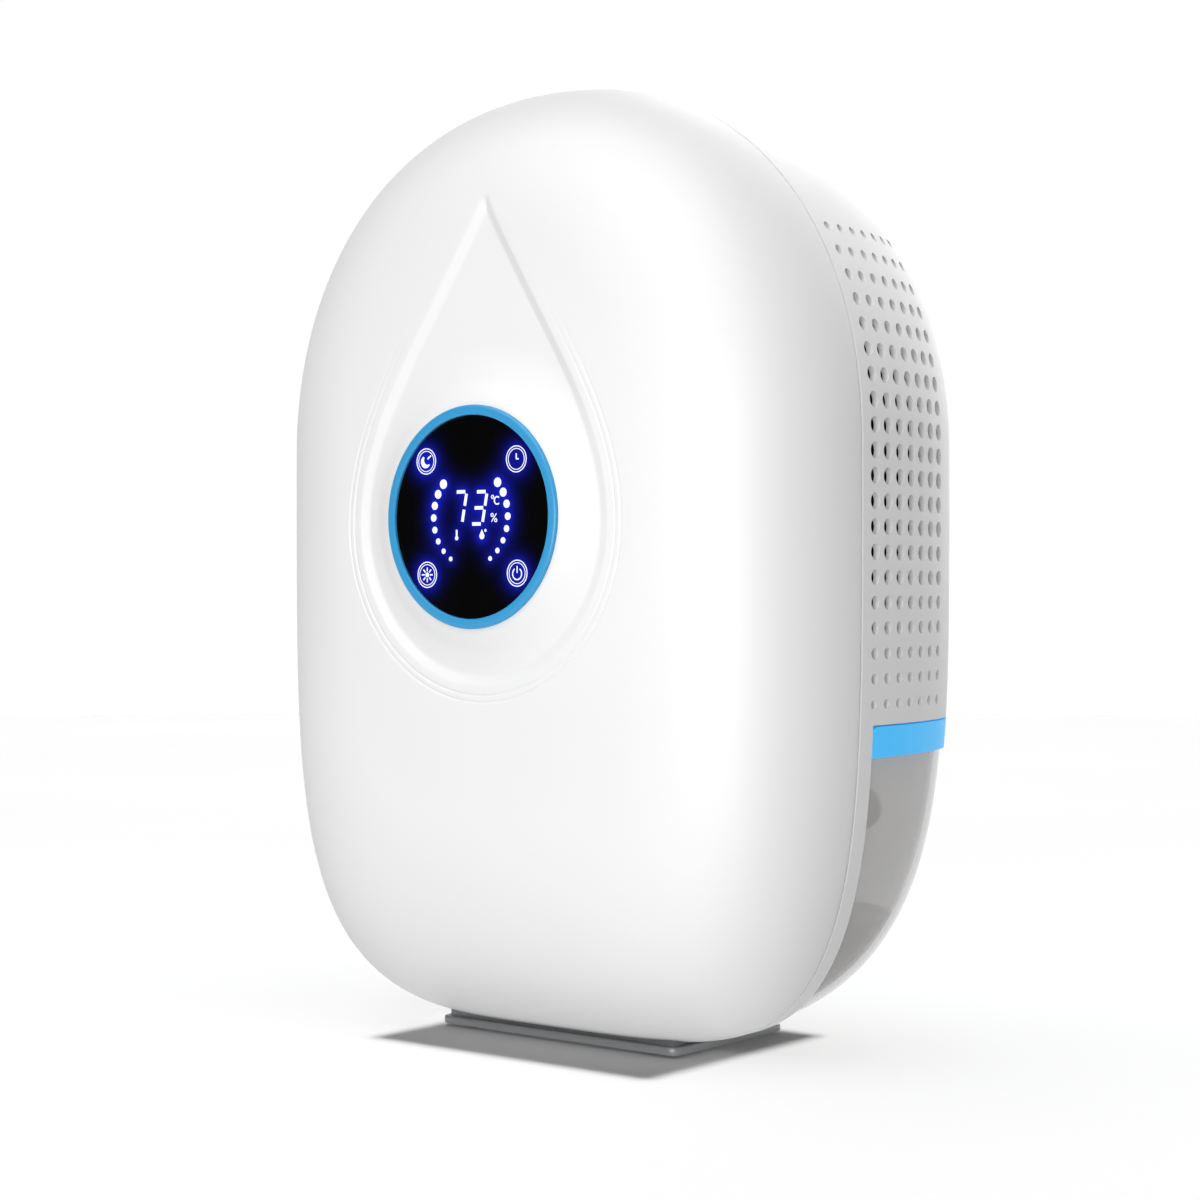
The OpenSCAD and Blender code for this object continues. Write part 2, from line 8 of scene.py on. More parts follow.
import bmesh
import bpy
import numpy as np
from bpy.props import FloatProperty, FloatVectorProperty, IntProperty, PointerProperty
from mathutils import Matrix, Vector

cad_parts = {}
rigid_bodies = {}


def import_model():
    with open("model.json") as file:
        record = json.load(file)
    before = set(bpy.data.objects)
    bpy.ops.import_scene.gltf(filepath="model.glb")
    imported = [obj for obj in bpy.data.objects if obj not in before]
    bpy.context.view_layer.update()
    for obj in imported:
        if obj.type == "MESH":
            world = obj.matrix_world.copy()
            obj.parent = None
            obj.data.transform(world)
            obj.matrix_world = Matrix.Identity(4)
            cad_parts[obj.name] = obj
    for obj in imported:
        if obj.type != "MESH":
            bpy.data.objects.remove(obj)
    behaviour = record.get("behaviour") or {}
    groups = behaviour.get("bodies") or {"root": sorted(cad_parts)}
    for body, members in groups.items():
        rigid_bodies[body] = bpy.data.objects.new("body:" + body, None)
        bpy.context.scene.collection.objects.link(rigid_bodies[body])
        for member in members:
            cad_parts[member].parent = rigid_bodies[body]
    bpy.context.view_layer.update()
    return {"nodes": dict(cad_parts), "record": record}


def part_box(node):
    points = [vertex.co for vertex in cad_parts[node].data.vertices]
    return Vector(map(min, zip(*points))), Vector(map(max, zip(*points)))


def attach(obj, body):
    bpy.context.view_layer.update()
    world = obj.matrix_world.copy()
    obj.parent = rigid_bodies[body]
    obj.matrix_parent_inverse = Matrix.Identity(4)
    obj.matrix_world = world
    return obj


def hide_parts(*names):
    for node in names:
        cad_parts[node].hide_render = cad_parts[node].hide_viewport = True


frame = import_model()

bl_info = {
    "name": "Oval dehumidifier",
    "version": (1, 0, 0),
    "blender": (4, 5, 0),
    "location": "3D View > Sidebar > Dehumidifier",
    "description": "Builds the visible pieces of an oval dehumidifier round its CAD frame",
    "category": "Object",
}

MM = 0.001


def corners(node):
    """The lowest and highest corners of a CAD node, in millimetres."""
    low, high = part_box(node)
    return np.array(low) / MM, np.array(high) / MM


# ---- places taken from the frame ---------------------------------------------------------------

COVER_LOW, COVER_HIGH = corners("front_cover")
REAR_LOW, REAR_HIGH = corners("rear_shell")
BAND_LOW, BAND_HIGH = corners("tank_band")
TANK_LOW = corners("water_tank")[0]
LID_LOW = corners("tank_lid")[0]
RING_LOW, RING_HIGH = corners("display_bezel")
PLATE_LOW, PLATE_HIGH = corners("base_plate")
FAN_LOW = corners("fan_rotor")[0]
GRILLE_LOW, GRILLE_HIGH = corners("outlet_grille")
JACK_LOW, JACK_HIGH = corners("dc_jack")

FACE_Y = COVER_LOW[1]
SEAM_Y = (COVER_HIGH[1] + REAR_LOW[1]) / 2
REAR_Y = REAR_HIGH[1]
HALF_W = round(REAR_HIGH[0], 1)
TOP_Z = round(REAR_HIGH[2], 1)
DISPLAY_Z = (RING_LOW[2] + RING_HIGH[2]) / 2
RING_R = (RING_HIGH[2] - RING_LOW[2]) / 2
FAN_Z = (GRILLE_LOW[2] + GRILLE_HIGH[2]) / 2
BAND_LOW_Z = BAND_LOW[2]
BAND_TOP_Z = BAND_HIGH[2]
TANK_LOW_Z = TANK_LOW[2]
TANK_Y = TANK_LOW[1]
PLATE_TOP = 4.0             # top of the flat plate, under its plinth

# ---- shape of the body -------------------------------------------------------------------------

CENTRE_Z = 223.4            # height of the widest point
UP_H = TOP_Z - CENTRE_Z
DOWN_H = CENTRE_Z - 3.0
TOP_POWER = 2.1             # squareness of the outline above and below the widest point
LOW_POWER = 4.35
SEAM_GAP = 0.3              # where each half of the body starts, from the middle of the seam
RIM_GAP = 0.4               # where the rim of each shell ends, from the middle of the seam
WALL = 2.5
BODY_LOW_Z = PLATE_TOP + 0.02   # lowest point of both shells, just clear of the plate
# For the front (-1) and the back (+1): depth, roll of the edge at the side and below, squareness.
ROLLS = {-1: (SEAM_Y - FACE_Y, 59.4, 86.0, 2.0), 1: (REAR_Y - SEAM_Y, 39.3, 72.0, 2.4)}

BAY_Y = TANK_Y - 0.5        # back of the wall in front of the tank
BAY_TOP_Z = BAND_TOP_Z + 0.6
TANK_SHRINK = 1.5           # how far the tank lies inside the body's surface
TANK_WALL = 2.2
TANK_GAP = 0.6              # how much wider the dark line in front of the tank is drawn
BAND_T = 3.5
GRIP_HALF_W = 42.0
GRIP_D = 12.0
GRIP_LOW_Z = BAND_LOW_Z - 25.0
PLUG_X, PLUG_Z, PLUG_R = 64.0, 84.0, 5.0
PLUG_BOSS_R = 8.0
SPOUT_Y, SPOUT_R = 4.0, 7.2
JACK_X, JACK_Z = (JACK_LOW[0] + JACK_HIGH[0]) / 2, (JACK_LOW[2] + JACK_HIGH[2]) / 2
CASE_SCREWS = [(side * x, z) for side in (-1, 1) for x, z in ((62, 282), (74, 148), (85, 60))]
SCREW_Y = SEAM_Y + 3.5      # seats of the case screw heads
POST_R, SCREW_HEAD_R, SCREW_HOLE_R = 4.8, 3.3, 1.6
JACK_HOLE_R = 5.6
OUTLET_R, OUTLET_STEP_R, OUTLET_STEP = 46.0, 50.2, 1.5
VENT_ROWS, VENT_COLS = 20, 7
VENT_LOW_Z, VENT_PITCH_Z, VENT_PITCH_Y = 130.0, 9.0, 8.8
VENT_END_D, VENT_MIDDLE_D = 3.2, 6.1     # vents grow from the ends of the grid to its middle
VENT_X0, VENT_X1 = 84, 135               # where the bars that drill them start and end
FAR = 400.0                 # beyond the body on every side


def linear(code):
    """The linear colour of an sRGB hex code."""
    values = [int(code[i:i + 2], 16) / 255 for i in (0, 2, 4)]
    return tuple(v / 12.92 if v <= 0.04045 else ((v + 0.055) / 1.055) ** 2.4 for v in values) + (1.0,)


# ---- settings that a user would change -----------------------------------------------------------

class FinishSettings(bpy.types.PropertyGroup):
    """Colours of the finishes"""
    shell: FloatVectorProperty(
        name="Shell", description="Colour of the white ABS shells", subtype="COLOR", size=4,
        min=0, max=1, default=linear("EAEAEA"))
    trim: FloatVectorProperty(
        name="Trim", description="Colour of the blue ABS ring and band", subtype="COLOR", size=4,
        min=0, max=1, default=linear("3FB2F0"))
    smoke: FloatVectorProperty(
        name="Tank", description="Tint of the clear SAN tank", subtype="COLOR", size=4,
        min=0, max=1, default=linear("D4D1CF"))
    plate: FloatVectorProperty(
        name="Base plate", description="Colour of the lacquered base plate", subtype="COLOR", size=4,
        min=0, max=1, default=linear("A4A6A8"))
    glow: FloatVectorProperty(
        name="Glow", description="Colour of the light that spreads in the display", subtype="COLOR",
        size=4, min=0, max=1, default=linear("1B27E0"))


class ShapeSettings(bpy.types.PropertyGroup):
    """Sizes of the details"""
    recess_depth: FloatProperty(
        name="Recess depth", description="Depth of the teardrop recess", unit="LENGTH",
        min=0.0002, max=0.003, default=0.0021)
    recess_slope: FloatProperty(
        name="Recess slope", description="Width of the sloped edge of the recess", unit="LENGTH",
        min=0.002, max=0.008, default=0.0038)
    dome_depth: FloatProperty(
        name="Dome depth", description="How far the face falls back from the display to its edge",
        unit="LENGTH", min=0, max=0.012, default=0.006)
    water_level: FloatProperty(
        name="Water level", description="Height of the water above the floor", unit="LENGTH",
        min=0.01, max=0.1, default=0.048)
    shown_value: IntProperty(
        name="Humidity", description="Number on the display", subtype="PERCENTAGE",
        min=10, max=99, default=73)


class StageSettings(bpy.types.PropertyGroup):
    """Camera and lights"""
    lens: FloatProperty(
        name="Lens", description="Focal length of the camera", min=20, max=200, default=73.5)
    key_power: FloatProperty(
        name="Key light", description="Power of the soft light at the right of the camera", unit="POWER",
        min=0, max=500, default=9.3)
    low_power: FloatProperty(
        name="Low light", description="Power of the soft light near the floor", unit="POWER",
        min=0, max=500, default=5.4)
    overhead: FloatProperty(
        name="Overhead light", description="Strength of the light from above the front", min=0, max=10,
        default=2.1)
    back_top: FloatProperty(
        name="Back light", description="Strength of the light from above the back", min=0, max=10,
        default=1.9)
    floor_light: FloatProperty(
        name="Floor light", description="Strength of the light that only the floor gets", min=0, max=40,
        default=4.6)
    ambient: FloatProperty(
        name="Ambient", description="Strength of the pale surroundings", min=0, max=3, default=1.0)


# ---- meshes --------------------------------------------------------------------------------------

def grid_faces(rows, columns, wrap_rows=False):
    """Quads of a grid whose columns wrap round, as index rows."""
    count = rows if wrap_rows else rows - 1
    row, column = np.meshgrid(np.arange(count), np.arange(columns), indexing="ij")
    after, right = (row + 1) % rows, (column + 1) % columns
    corner = [(row, column), (row, right), (after, right), (after, column)]
    return np.stack([r * columns + c for r, c in corner], -1).reshape(-1, 4).tolist()


def tube_faces(rows, columns):
    """Faces of a closed tube: a grid whose columns wrap round, with a cap at each end."""
    last = (rows - 1) * columns
    return grid_faces(rows, columns) + [list(range(columns)), list(range(last, last + columns))]


def merged(*shapes):
    """Several (points, faces) shapes as one."""
    points, faces, start = [], [], 0
    for shape_points, shape_faces in shapes:
        points.append(np.asarray(shape_points, float))
        faces += [[start + i for i in face] for face in shape_faces]
        start += len(shape_points)
    return np.concatenate(points), faces


def box_shape(low, high):
    """A box between two corners."""
    points = [[(low, high)[i][0], (low, high)[j][1], (low, high)[k][2]]
              for i in (0, 1) for j in (0, 1) for k in (0, 1)]
    faces = [[0, 1, 3, 2], [4, 6, 7, 5], [0, 4, 5, 1], [2, 3, 7, 6], [0, 2, 6, 4], [1, 5, 7, 3]]
    return points, faces


def rod_shape(start, end, radius, steps=48):
    """A round bar along X, Y or Z."""
    start, end = np.array(start, float), np.array(end, float)
    axis = int(np.argmax(np.abs(end - start)))
    angle = np.arange(steps) * 2 * math.pi / steps
    rings = []
    for middle in sorted((start, end), key=lambda p: p[axis]):
        ring = np.tile(middle, (steps, 1))
        ring[:, (axis + 1) % 3] += radius * np.cos(angle)
        ring[:, (axis + 2) % 3] += radius * np.sin(angle)
        rings.append(ring)
    faces = grid_faces(2, steps) + [list(range(steps))[::-1], list(range(steps, 2 * steps))]
    return np.concatenate(rings), faces


def lathe_shape(profile, x, z, steps=160):
    """A closed (radius, y) profile turned about an axis along Y."""
    profile = np.array(profile, float)
    angle = np.arange(steps)[:, None] * 2 * math.pi / steps
    radius, depth = profile[None, :, 0], profile[None, :, 1]
    points = np.stack((x + radius * np.cos(angle), depth + 0 * angle, z + radius * np.sin(angle)), -1)
    return points.reshape(-1, 3), grid_faces(steps, len(profile), wrap_rows=True)


def rounded_profile(low, high, radius, steps=4):
    """A rectangle between two (radius, y) corners, with round corners."""
    turns = np.linspace(0, math.pi / 2, steps + 1)
    points = []
    for quarter, (u, v) in enumerate(((1, 1), (0, 1), (0, 0), (1, 0))):
        middle = [(low[0] + radius, high[0] - radius)[u], (low[1] + radius, high[1] - radius)[v]]
        for turn in turns + quarter * math.pi / 2:
            points.append((middle[0] + radius * math.cos(turn), middle[1] + radius * math.sin(turn)))
    return points


def new_object(name, shape):
    """A mesh object from a shape in millimetres, with its faces turned outward."""
    points, faces = shape
    mesh = bpy.data.meshes.new(name)
    mesh.from_pydata((np.asarray(points, float) * MM).tolist(), [], faces)
    work = bmesh.new()
    work.from_mesh(mesh)
    bmesh.ops.remove_doubles(work, verts=work.verts, dist=1e-7)
    bmesh.ops.recalc_face_normals(work, faces=work.faces)
    work.to_mesh(mesh)
    work.free()
    thing = bpy.data.objects.new(name, mesh)
    bpy.context.scene.collection.objects.link(thing)
    return thing


def combine(target, how, *tools):
    """Cuts, joins or intersects closed tools with a closed piece, and removes the tools."""
    for tool in tools:
        change = target.modifiers.new("combine", "BOOLEAN")
        change.solver = "MANIFOLD"
        change.operation = how
        change.object = tool
    bpy.context.view_layer.update()
    mesh = bpy.data.meshes.new_from_object(target.evaluated_get(bpy.context.evaluated_depsgraph_get()))
    if not mesh.polygons:
        raise RuntimeError(f"nothing is left of {target.name}")
    target.modifiers.clear()
    target.data = mesh
    for tool in tools:
        bpy.data.objects.remove(tool)
    return target


def finish_piece(piece, body, finish, stands_for=(), sharp=35):
    """Gives a piece its shading, material and body, and hides the CAD nodes it stands for."""
    piece.data.materials.clear()
    piece.data.materials.append(finish)
    piece.data.shade_smooth()
    piece.data.set_sharp_from_angle(angle=math.radians(sharp))
    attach(piece, body)
    if stands_for:
        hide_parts(*stands_for)
    return piece


# ---- the body's surface --------------------------------------------------------------------------

def outline(angle, side, low):
    """Points (x, z) of the body's outline, pulled in by side, and by low at the bottom."""
    above = np.sin(angle) >= 0
    power = np.where(above, TOP_POWER, LOW_POWER)
    height = np.where(above, UP_H - side, DOWN_H - low)
    radius = ((np.abs(np.cos(angle)) / (HALF_W - side)) ** power
              + (np.abs(np.sin(angle)) / height) ** power) ** (-1 / power)
    return radius * np.cos(angle), CENTRE_Z + radius * np.sin(angle)


def rolled_ring(direction, turn, angle, shrink=0.0):
    """One ring of the rolled edge: turn goes from 0 at the seam to a right angle at the flat."""
    depth, side_roll, low_roll, power = ROLLS[direction]
    out = math.sin(turn) ** (2 / power)
    inward = 1 - max(math.cos(turn), 0) ** (2 / power)
    x, z = outline(angle, shrink + (side_roll - shrink) * inward, shrink + (low_roll - shrink) * inward)
    y = SEAM_Y + direction * (SEAM_GAP + (depth - SEAM_GAP - shrink) * out)
    return np.column_stack((x, np.full_like(x, y), z))


def half_body(name, direction, shrink=0.0, rings=30, count=288):
    """The closed front or back half of the body, pulled in all over by shrink."""
    angle = np.arange(count) * 2 * math.pi / count
    turns = np.linspace(0, math.pi / 2, rings)
    points = np.concatenate([rolled_ring(direction, turn, angle, shrink) for turn in turns])
    return new_object(name, (points, tube_faces(rings, count)))


def body_level(points, direction, shrink):
    """1 on the surface of the half body, less inside and more outside."""
    depth, side_roll, low_roll, power = ROLLS[direction]
    share = direction * (points[:, 1] - SEAM_Y) - SEAM_GAP
    share = np.clip(share / (depth - SEAM_GAP - shrink), 0, 1 - 1e-9)
    inward = 1 - (1 - share ** power) ** (1 / power)
    above = points[:, 2] >= CENTRE_Z
    half = HALF_W - shrink - (side_roll - shrink) * inward
    height = np.where(above, UP_H - shrink - (side_roll - shrink) * inward,
                      DOWN_H - shrink - (low_roll - shrink) * inward)
    n = np.where(above, TOP_POWER, LOW_POWER)
    return (np.abs(points[:, 0]) / half) ** n + (np.abs(points[:, 2] - CENTRE_Z) / height) ** n


def true_normals(piece, direction, *shrinks):
    """Shades the faces that lie on the body's surface with that surface's own normals."""
    mesh = piece.data
    points = np.zeros(len(mesh.vertices) * 3)
    mesh.vertices.foreach_get("co", points)
    points = points.reshape(-1, 3) / MM
    corner = np.zeros(len(mesh.loops), int)
    mesh.loops.foreach_get("vertex_index", corner)
    normals = np.zeros((len(mesh.loops), 3))
    face_normal = np.zeros(len(mesh.polygons) * 3)
    mesh.polygons.foreach_get("normal", face_normal)
    face_normal = face_normal.reshape(-1, 3)
    totals = np.zeros(len(mesh.polygons), int)
    mesh.polygons.foreach_get("loop_total", totals)
    face_of = np.repeat(np.arange(len(totals)), totals)
    for shrink in shrinks:
        near = np.abs(body_level(points, direction, shrink) - 1) < 0.004
        inside = direction * (points[:, 1] - SEAM_Y) - ROLLS[direction][0] + shrink < -0.02
        on = near & inside
        slope = np.zeros_like(points)
        for axis in range(3):
            step = np.zeros(3)
            step[axis] = 0.01
            slope[:, axis] = (body_level(points + step, direction, shrink)
                              - body_level(points - step, direction, shrink))
        slope /= np.maximum(np.linalg.norm(slope, axis=1, keepdims=True), 1e-12)
        whole = np.bincount(face_of, weights=~on[corner], minlength=len(totals)) == 0
        facing = np.einsum("ij,ij->i", slope[corner], face_normal[face_of])
        chosen = whole[face_of] & (np.abs(facing) > 0.9)
        normals[chosen] = (slope[corner] * np.sign(facing)[:, None])[chosen]
    mesh.normals_split_custom_set(normals.tolist())


# ---- materials -----------------------------------------------------------------------------------

def add_node(tree, kind, inputs=None, **settings):
    """Adds a node. Each input is set to a value, or linked to another node's output."""
    node = tree.nodes.new(kind)
    for name, value in settings.items():
        setattr(node, name, value)
    for name, value in (inputs or {}).items():
        if isinstance(value, bpy.types.NodeSocket):
            tree.links.new(value, node.inputs[name])
        else:
            node.inputs[name].default_value = value
    return node


def new_finish(name, **shader):
    """A material with one Principled shader. Returns the material, its tree, the shader and the place."""
    finish = bpy.data.materials.new(name)
    finish.use_nodes = True
    tree = finish.node_tree
    tree.nodes.clear()
    principled = add_node(tree, "ShaderNodeBsdfPrincipled", shader)
    add_node(tree, "ShaderNodeOutputMaterial", {"Surface": principled.outputs["BSDF"]})
    place = add_node(tree, "ShaderNodeTexCoord").outputs["Object"]
    return finish, tree, principled, place


def grain(tree, place, size_mm, detail=2.0, stretch=(1, 1, 1)):
    """Noise whose blobs are size_mm across, drawn out along an axis by a small stretch value."""
    mapped = add_node(tree, "ShaderNodeMapping", {"Vector": place, "Scale": stretch})
    return add_node(tree, "ShaderNodeTexNoise", {
        "Vector": mapped.outputs["Vector"], "Scale": 1 / (size_mm * MM), "Detail": detail}).outputs["Fac"]


def tint(tree, shader, pattern, colour, other):
    """Colours the shader between two tones by a pattern."""
    mix = add_node(tree, "ShaderNodeMix", {0: pattern, 6: colour, 7: other}, data_type="RGBA")
    tree.links.new(mix.outputs[2], shader.inputs["Base Color"])


def relief(tree, shader, pattern, depth_mm):
    """Raises the surface by a pattern, as deep as depth_mm."""
    bump = add_node(tree, "ShaderNodeBump", {
        "Height": pattern, "Distance": depth_mm * MM, "Strength": 1.0})
    tree.links.new(bump.outputs["Normal"], shader.inputs["Normal"])


def vary_roughness(tree, shader, pattern, low, high):
    """Makes the gloss drift between two roughness values by a pattern."""
    spread = add_node(tree, "ShaderNodeMapRange", {"Value": pattern, "To Min": low, "To Max": high})
    tree.links.new(spread.outputs["Result"], shader.inputs["Roughness"])


def shade(colour, amount):
    """A colour made darker, or lighter with an amount above 1."""
    return tuple(min(c * amount, 1.0) for c in colour[:3]) + (1.0,)


def moulded(name, colour, roughness, grain_mm, depth_mm, ior=1.53, drift=0.97, **more):
    """A moulded plastic: a drift of tone where the melt flowed, over the mould's fine spark-eroded skin."""
    finish, tree, shader, place = new_finish(name, **{"IOR": ior, **more})
    tint(tree, shader, grain(tree, place, 70, 1), shade(colour, drift), colour)
    vary_roughness(tree, shader, grain(tree, place, 12), roughness - 0.03, roughness + 0.03)
    relief(tree, shader, grain(tree, place, grain_mm, 3), depth_mm)
    return finish


def make_finishes(colours):
    """Every finish of the object, by the record's slot."""
    found = {}
    # Moulded ABS, satin from a finely blasted mould: broad soft highlights and no visible grain.
    # The real grain of 0.1 mm is drawn at 0.6 mm so that it shows close up.
    found["white_shell"] = moulded("satin moulded ABS", tuple(colours.shell), 0.48, 0.6, 0.004)
    # Moulded ABS coloured through, from a polished mould: an even sky blue with a soft shine.
    found["blue_trim"] = moulded("sky blue moulded ABS", shade(tuple(colours.trim), 0.7), 0.34, 0.6, 0.003)
    # The band is drawn a lighter blue than the ring and given a weak glow of its own: painted light that
    # keeps it bright blue on the shaded side. The band is taken to hold a fluorescent pigment, which is
    # a guess: a weak light of its own keeps it bright blue on the shaded side.
    found["blue_band"] = moulded(
        "sky blue moulded ABS with painted glow", shade(tuple(colours.trim), 0.95), 0.5, 0.6, 0.003,
        **{"Emission Color": linear("1E9AD0"), "Emission Strength": 0.55})
    # Natural white ABS of the inner frames: duller and a little creamier than the shells.
    found["white_inner"] = moulded("matt moulded ABS", linear("E6E5E0"), 0.5, 0.8, 0.01)
    # Glass-filled ABS of frames and posts: grey, with the mottle that the short fibres leave.
    found["grey_frame"] = moulded("glass-filled moulded ABS", linear("8D9093"), 0.48, 1.2, 0.02, drift=0.9)
    # Black PBT of the socket, fan frame and plug: dull black that keeps the mould's fine grain.
    found["black_plastic"] = moulded("moulded PBT", linear("1B1C1E"), 0.45, 0.7, 0.02, ior=1.55, drift=0.8)
    # Blown polypropylene of the float: waxy, off-white, letting light in a little way.
    found["float_plastic"] = moulded("blown polypropylene", linear("E9E7DD"), 0.42, 2.0, 0.01, ior=1.49,
                                     **{"Subsurface Weight": 0.2, "Subsurface Scale": 0.002})
    # PVC sheath of the leads: dark and soft, with a faint waviness from extrusion.
    found["cable_sheath"] = moulded("extruded PVC", linear("222326"), 0.5, 3.0, 0.03, ior=1.53, drift=0.85)
    # EPDM rubber of the feet: almost black, dry, with a powdery bloom.
    found["rubber"] = moulded("moulded EPDM rubber", linear("2A2A2B"), 0.78, 0.9, 0.03, ior=1.52, drift=0.8)

    # Silicone of the drain plug: milky, soft and dull.
    found["silicone"] = moulded("moulded silicone", linear("C9C8C5"), 0.5, 1.5, 0.01, ior=1.41)

    # Silver-lacquered pressed steel: a pale grey coat with fine metal flake and a clear top coat.
    finish, tree, shader, place = new_finish("silver-lacquered steel", Metallic=0.35, **{
        "Coat Weight": 0.2, "Coat Roughness": 0.25})
    tint(tree, shader, grain(tree, place, 0.8, 3), shade(tuple(colours.plate), 0.9), tuple(colours.plate))
    vary_roughness(tree, shader, grain(tree, place, 9), 0.38, 0.46)
    relief(tree, shader, grain(tree, place, 0.8), 0.003)
    found["silver_plate"] = finish

    # Extruded aluminium of the heat sinks: bright, with long fine die lines along the profile (Z).
    finish, tree, shader, place = new_finish("extruded aluminium", Metallic=1.0)
    lines = grain(tree, place, 0.7, 2, stretch=(1, 1, 0.02))
    tint(tree, shader, lines, linear("B9BBBE"), linear("D5D7D9"))
    vary_roughness(tree, shader, lines, 0.28, 0.42)
    relief(tree, shader, lines, 0.02)
    found["aluminium"] = finish

    # Zinc-plated steel of screws and pins: bluish bright metal with a slight crystalline bloom.
    finish, tree, shader, place = new_finish("zinc-plated steel", Metallic=1.0)
    tint(tree, shader, grain(tree, place, 1.5, 3), linear("A7ABB2"), linear("C6CAD0"))
    vary_roughness(tree, shader, grain(tree, place, 1.0, 3), 0.22, 0.36)
    relief(tree, shader, grain(tree, place, 0.6), 0.005)
    found["steel"] = finish

    # Sintered bronze of the fan bearing: warm metal with open pores of about 0.2 mm.
    finish, tree, shader, place = new_finish("sintered bronze", Metallic=1.0)
    pores = add_node(tree, "ShaderNodeTexVoronoi", {"Vector": place, "Scale": 1 / (0.5 * MM)})
    tint(tree, shader, pores.outputs["Distance"], linear("8C6A3C"), linear("C79B5B"))
    vary_roughness(tree, shader, pores.outputs["Distance"], 0.3, 0.5)
    relief(tree, shader, pores.outputs["Distance"], 0.05)
    found["brass"] = finish

    # Enamelled copper wire, wound in turns 0.5 mm apart round the fan's axis.
    finish, tree, shader, place = new_finish("enamelled copper wire", Metallic=1.0, Roughness=0.28)
    turns = add_node(tree, "ShaderNodeTexWave", {
        "Vector": place, "Scale": 1 / (0.5 * MM) * math.pi / 10, "Distortion": 0.4},
        wave_type="BANDS", bands_direction="Y")
    tint(tree, shader, turns.outputs["Fac"], linear("7A3A1C"), linear("D07A45"))
    relief(tree, shader, turns.outputs["Fac"], 0.2)
    found["copper_winding"] = finish

    # Fired alumina of the cooling module: matt white with a chalky 0.5 mm mottle.
    finish, tree, shader, place = new_finish("fired alumina", IOR=1.76)
    tint(tree, shader, grain(tree, place, 0.5, 4), linear("DDDAD2"), linear("F1EFEA"))
    vary_roughness(tree, shader, grain(tree, place, 2), 0.55, 0.7)
    relief(tree, shader, grain(tree, place, 0.5), 0.01)
    found["ceramic"] = finish

    # Closed-cell EVA foam: dark, dull, with cells of about 0.6 mm. Inside the rear shell by the vents it is
    # also painted shade.
    finish, tree, shader, place = new_finish("closed-cell EVA foam and painted vent shade", Roughness=0.9, IOR=1.48)
    cells = add_node(tree, "ShaderNodeTexVoronoi", {"Vector": place, "Scale": 1 / (0.6 * MM)})
    tint(tree, shader, cells.outputs["Distance"], linear("18181A"), linear("34353A"))
    relief(tree, shader, cells.outputs["Distance"], 0.15)
    found["foam"] = finish

    # FR4 board under green solder mask: copper tracks 1 mm wide stand out as a paler, raised net.
    finish, tree, shader, place = new_finish("solder-masked FR4", Roughness=0.3, IOR=1.55)
    turned = add_node(tree, "ShaderNodeMapping", {
        "Vector": place, "Rotation": (math.pi / 2, 0, 0), "Scale": (1, 1, 1)})
    tracks = add_node(tree, "ShaderNodeTexBrick", {
        "Vector": turned.outputs["Vector"], "Scale": 1 / (6 * MM), "Mortar Size": 0.06,
        "Mortar Smooth": 0.1, "Row Height": 0.5})
    tint(tree, shader, tracks.outputs["Fac"], linear("0B4A25"), linear("1F7A45"))
    relief(tree, shader, tracks.outputs["Fac"], 0.04)
    found["circuit_board"] = finish

    # Sintered ferrite: charcoal, matt, with a fine ground texture.
    finish, tree, shader, place = new_finish("sintered ferrite", Roughness=0.55, IOR=2.2)
    tint(tree, shader, grain(tree, place, 0.4, 4), linear("26262A"), linear("3E3F45"))
    relief(tree, shader, grain(tree, place, 0.4), 0.02)
    found["magnet"] = finish

    # Moulded SAN, tinted smoke grey: clear and glossy with slow ripples where the melt cooled.
    # Each face of the thin wall lets about half of the light straight through.
    finish, tree, shader, place = new_finish("smoked moulded SAN", IOR=1.57, Alpha=0.46)
    tint(tree, shader, grain(tree, place, 60, 1), shade(tuple(colours.smoke), 0.95), tuple(colours.smoke))
    vary_roughness(tree, shader, grain(tree, place, 25), 0.03, 0.06)
    relief(tree, shader, grain(tree, place, 60, 0), 0.05)
    found["smoke_clear"] = finish
    return found


# ---- front cover ---------------------------------------------------------------------------------

BOWL_R = 57                 # round bowl of the teardrop, before its 2.5 mm rounding
TIP_H = 117
DROP_ROUND = 2.5
DROP_Z = DISPLAY_Z - 2
HOLE_R = RING_R - 1.9
COLLAR_R, COLLAR_FOOT_R = RING_R + 0.6, RING_R + 8.5


def flank_width(share):
    """Half the teardrop's width at a share of the way up to its tip."""
    return BOWL_R * np.maximum(1 - share ** 2, 0) ** (1.7 - 0.5 * share ** 2)


def drop_distance(x, z):
    """Distance from the teardrop's edge in millimetres, negative inside it."""
    height = np.linspace(0, 1, 500)
    flank = np.column_stack((flank_width(height), TIP_H * height))
    bowl = np.linspace(-math.pi / 2, 0, 300)
    edge = np.concatenate((np.column_stack((BOWL_R * np.cos(bowl), BOWL_R * np.sin(bowl))), flank))
    spots = np.column_stack((np.abs(x), z - DROP_Z))
    nearest = np.full(len(spots), 1e9)
    for point in edge:
        nearest = np.minimum(nearest, (spots[:, 0] - point[0]) ** 2 + (spots[:, 1] - point[1]) ** 2)
    share = np.clip(spots[:, 1] / TIP_H, 0, 1)
    width = np.where(spots[:, 1] < 0, np.sqrt(np.maximum(BOWL_R ** 2 - spots[:, 1] ** 2, 0)),
                     flank_width(share))
    inside = (spots[:, 0] < width) & (spots[:, 1] > -BOWL_R) & (spots[:, 1] < TIP_H)
    return np.where(inside, -1, 1) * np.sqrt(nearest) - DROP_ROUND


def soft_ramp(value, length, rounding):
    """0 below 0 and 1 above length, straight between, with rounded knees."""
    rise = np.sqrt(value ** 2 + rounding ** 2) - np.sqrt((value - length) ** 2 + rounding ** 2)
    return (rise + length) / (2 * length)


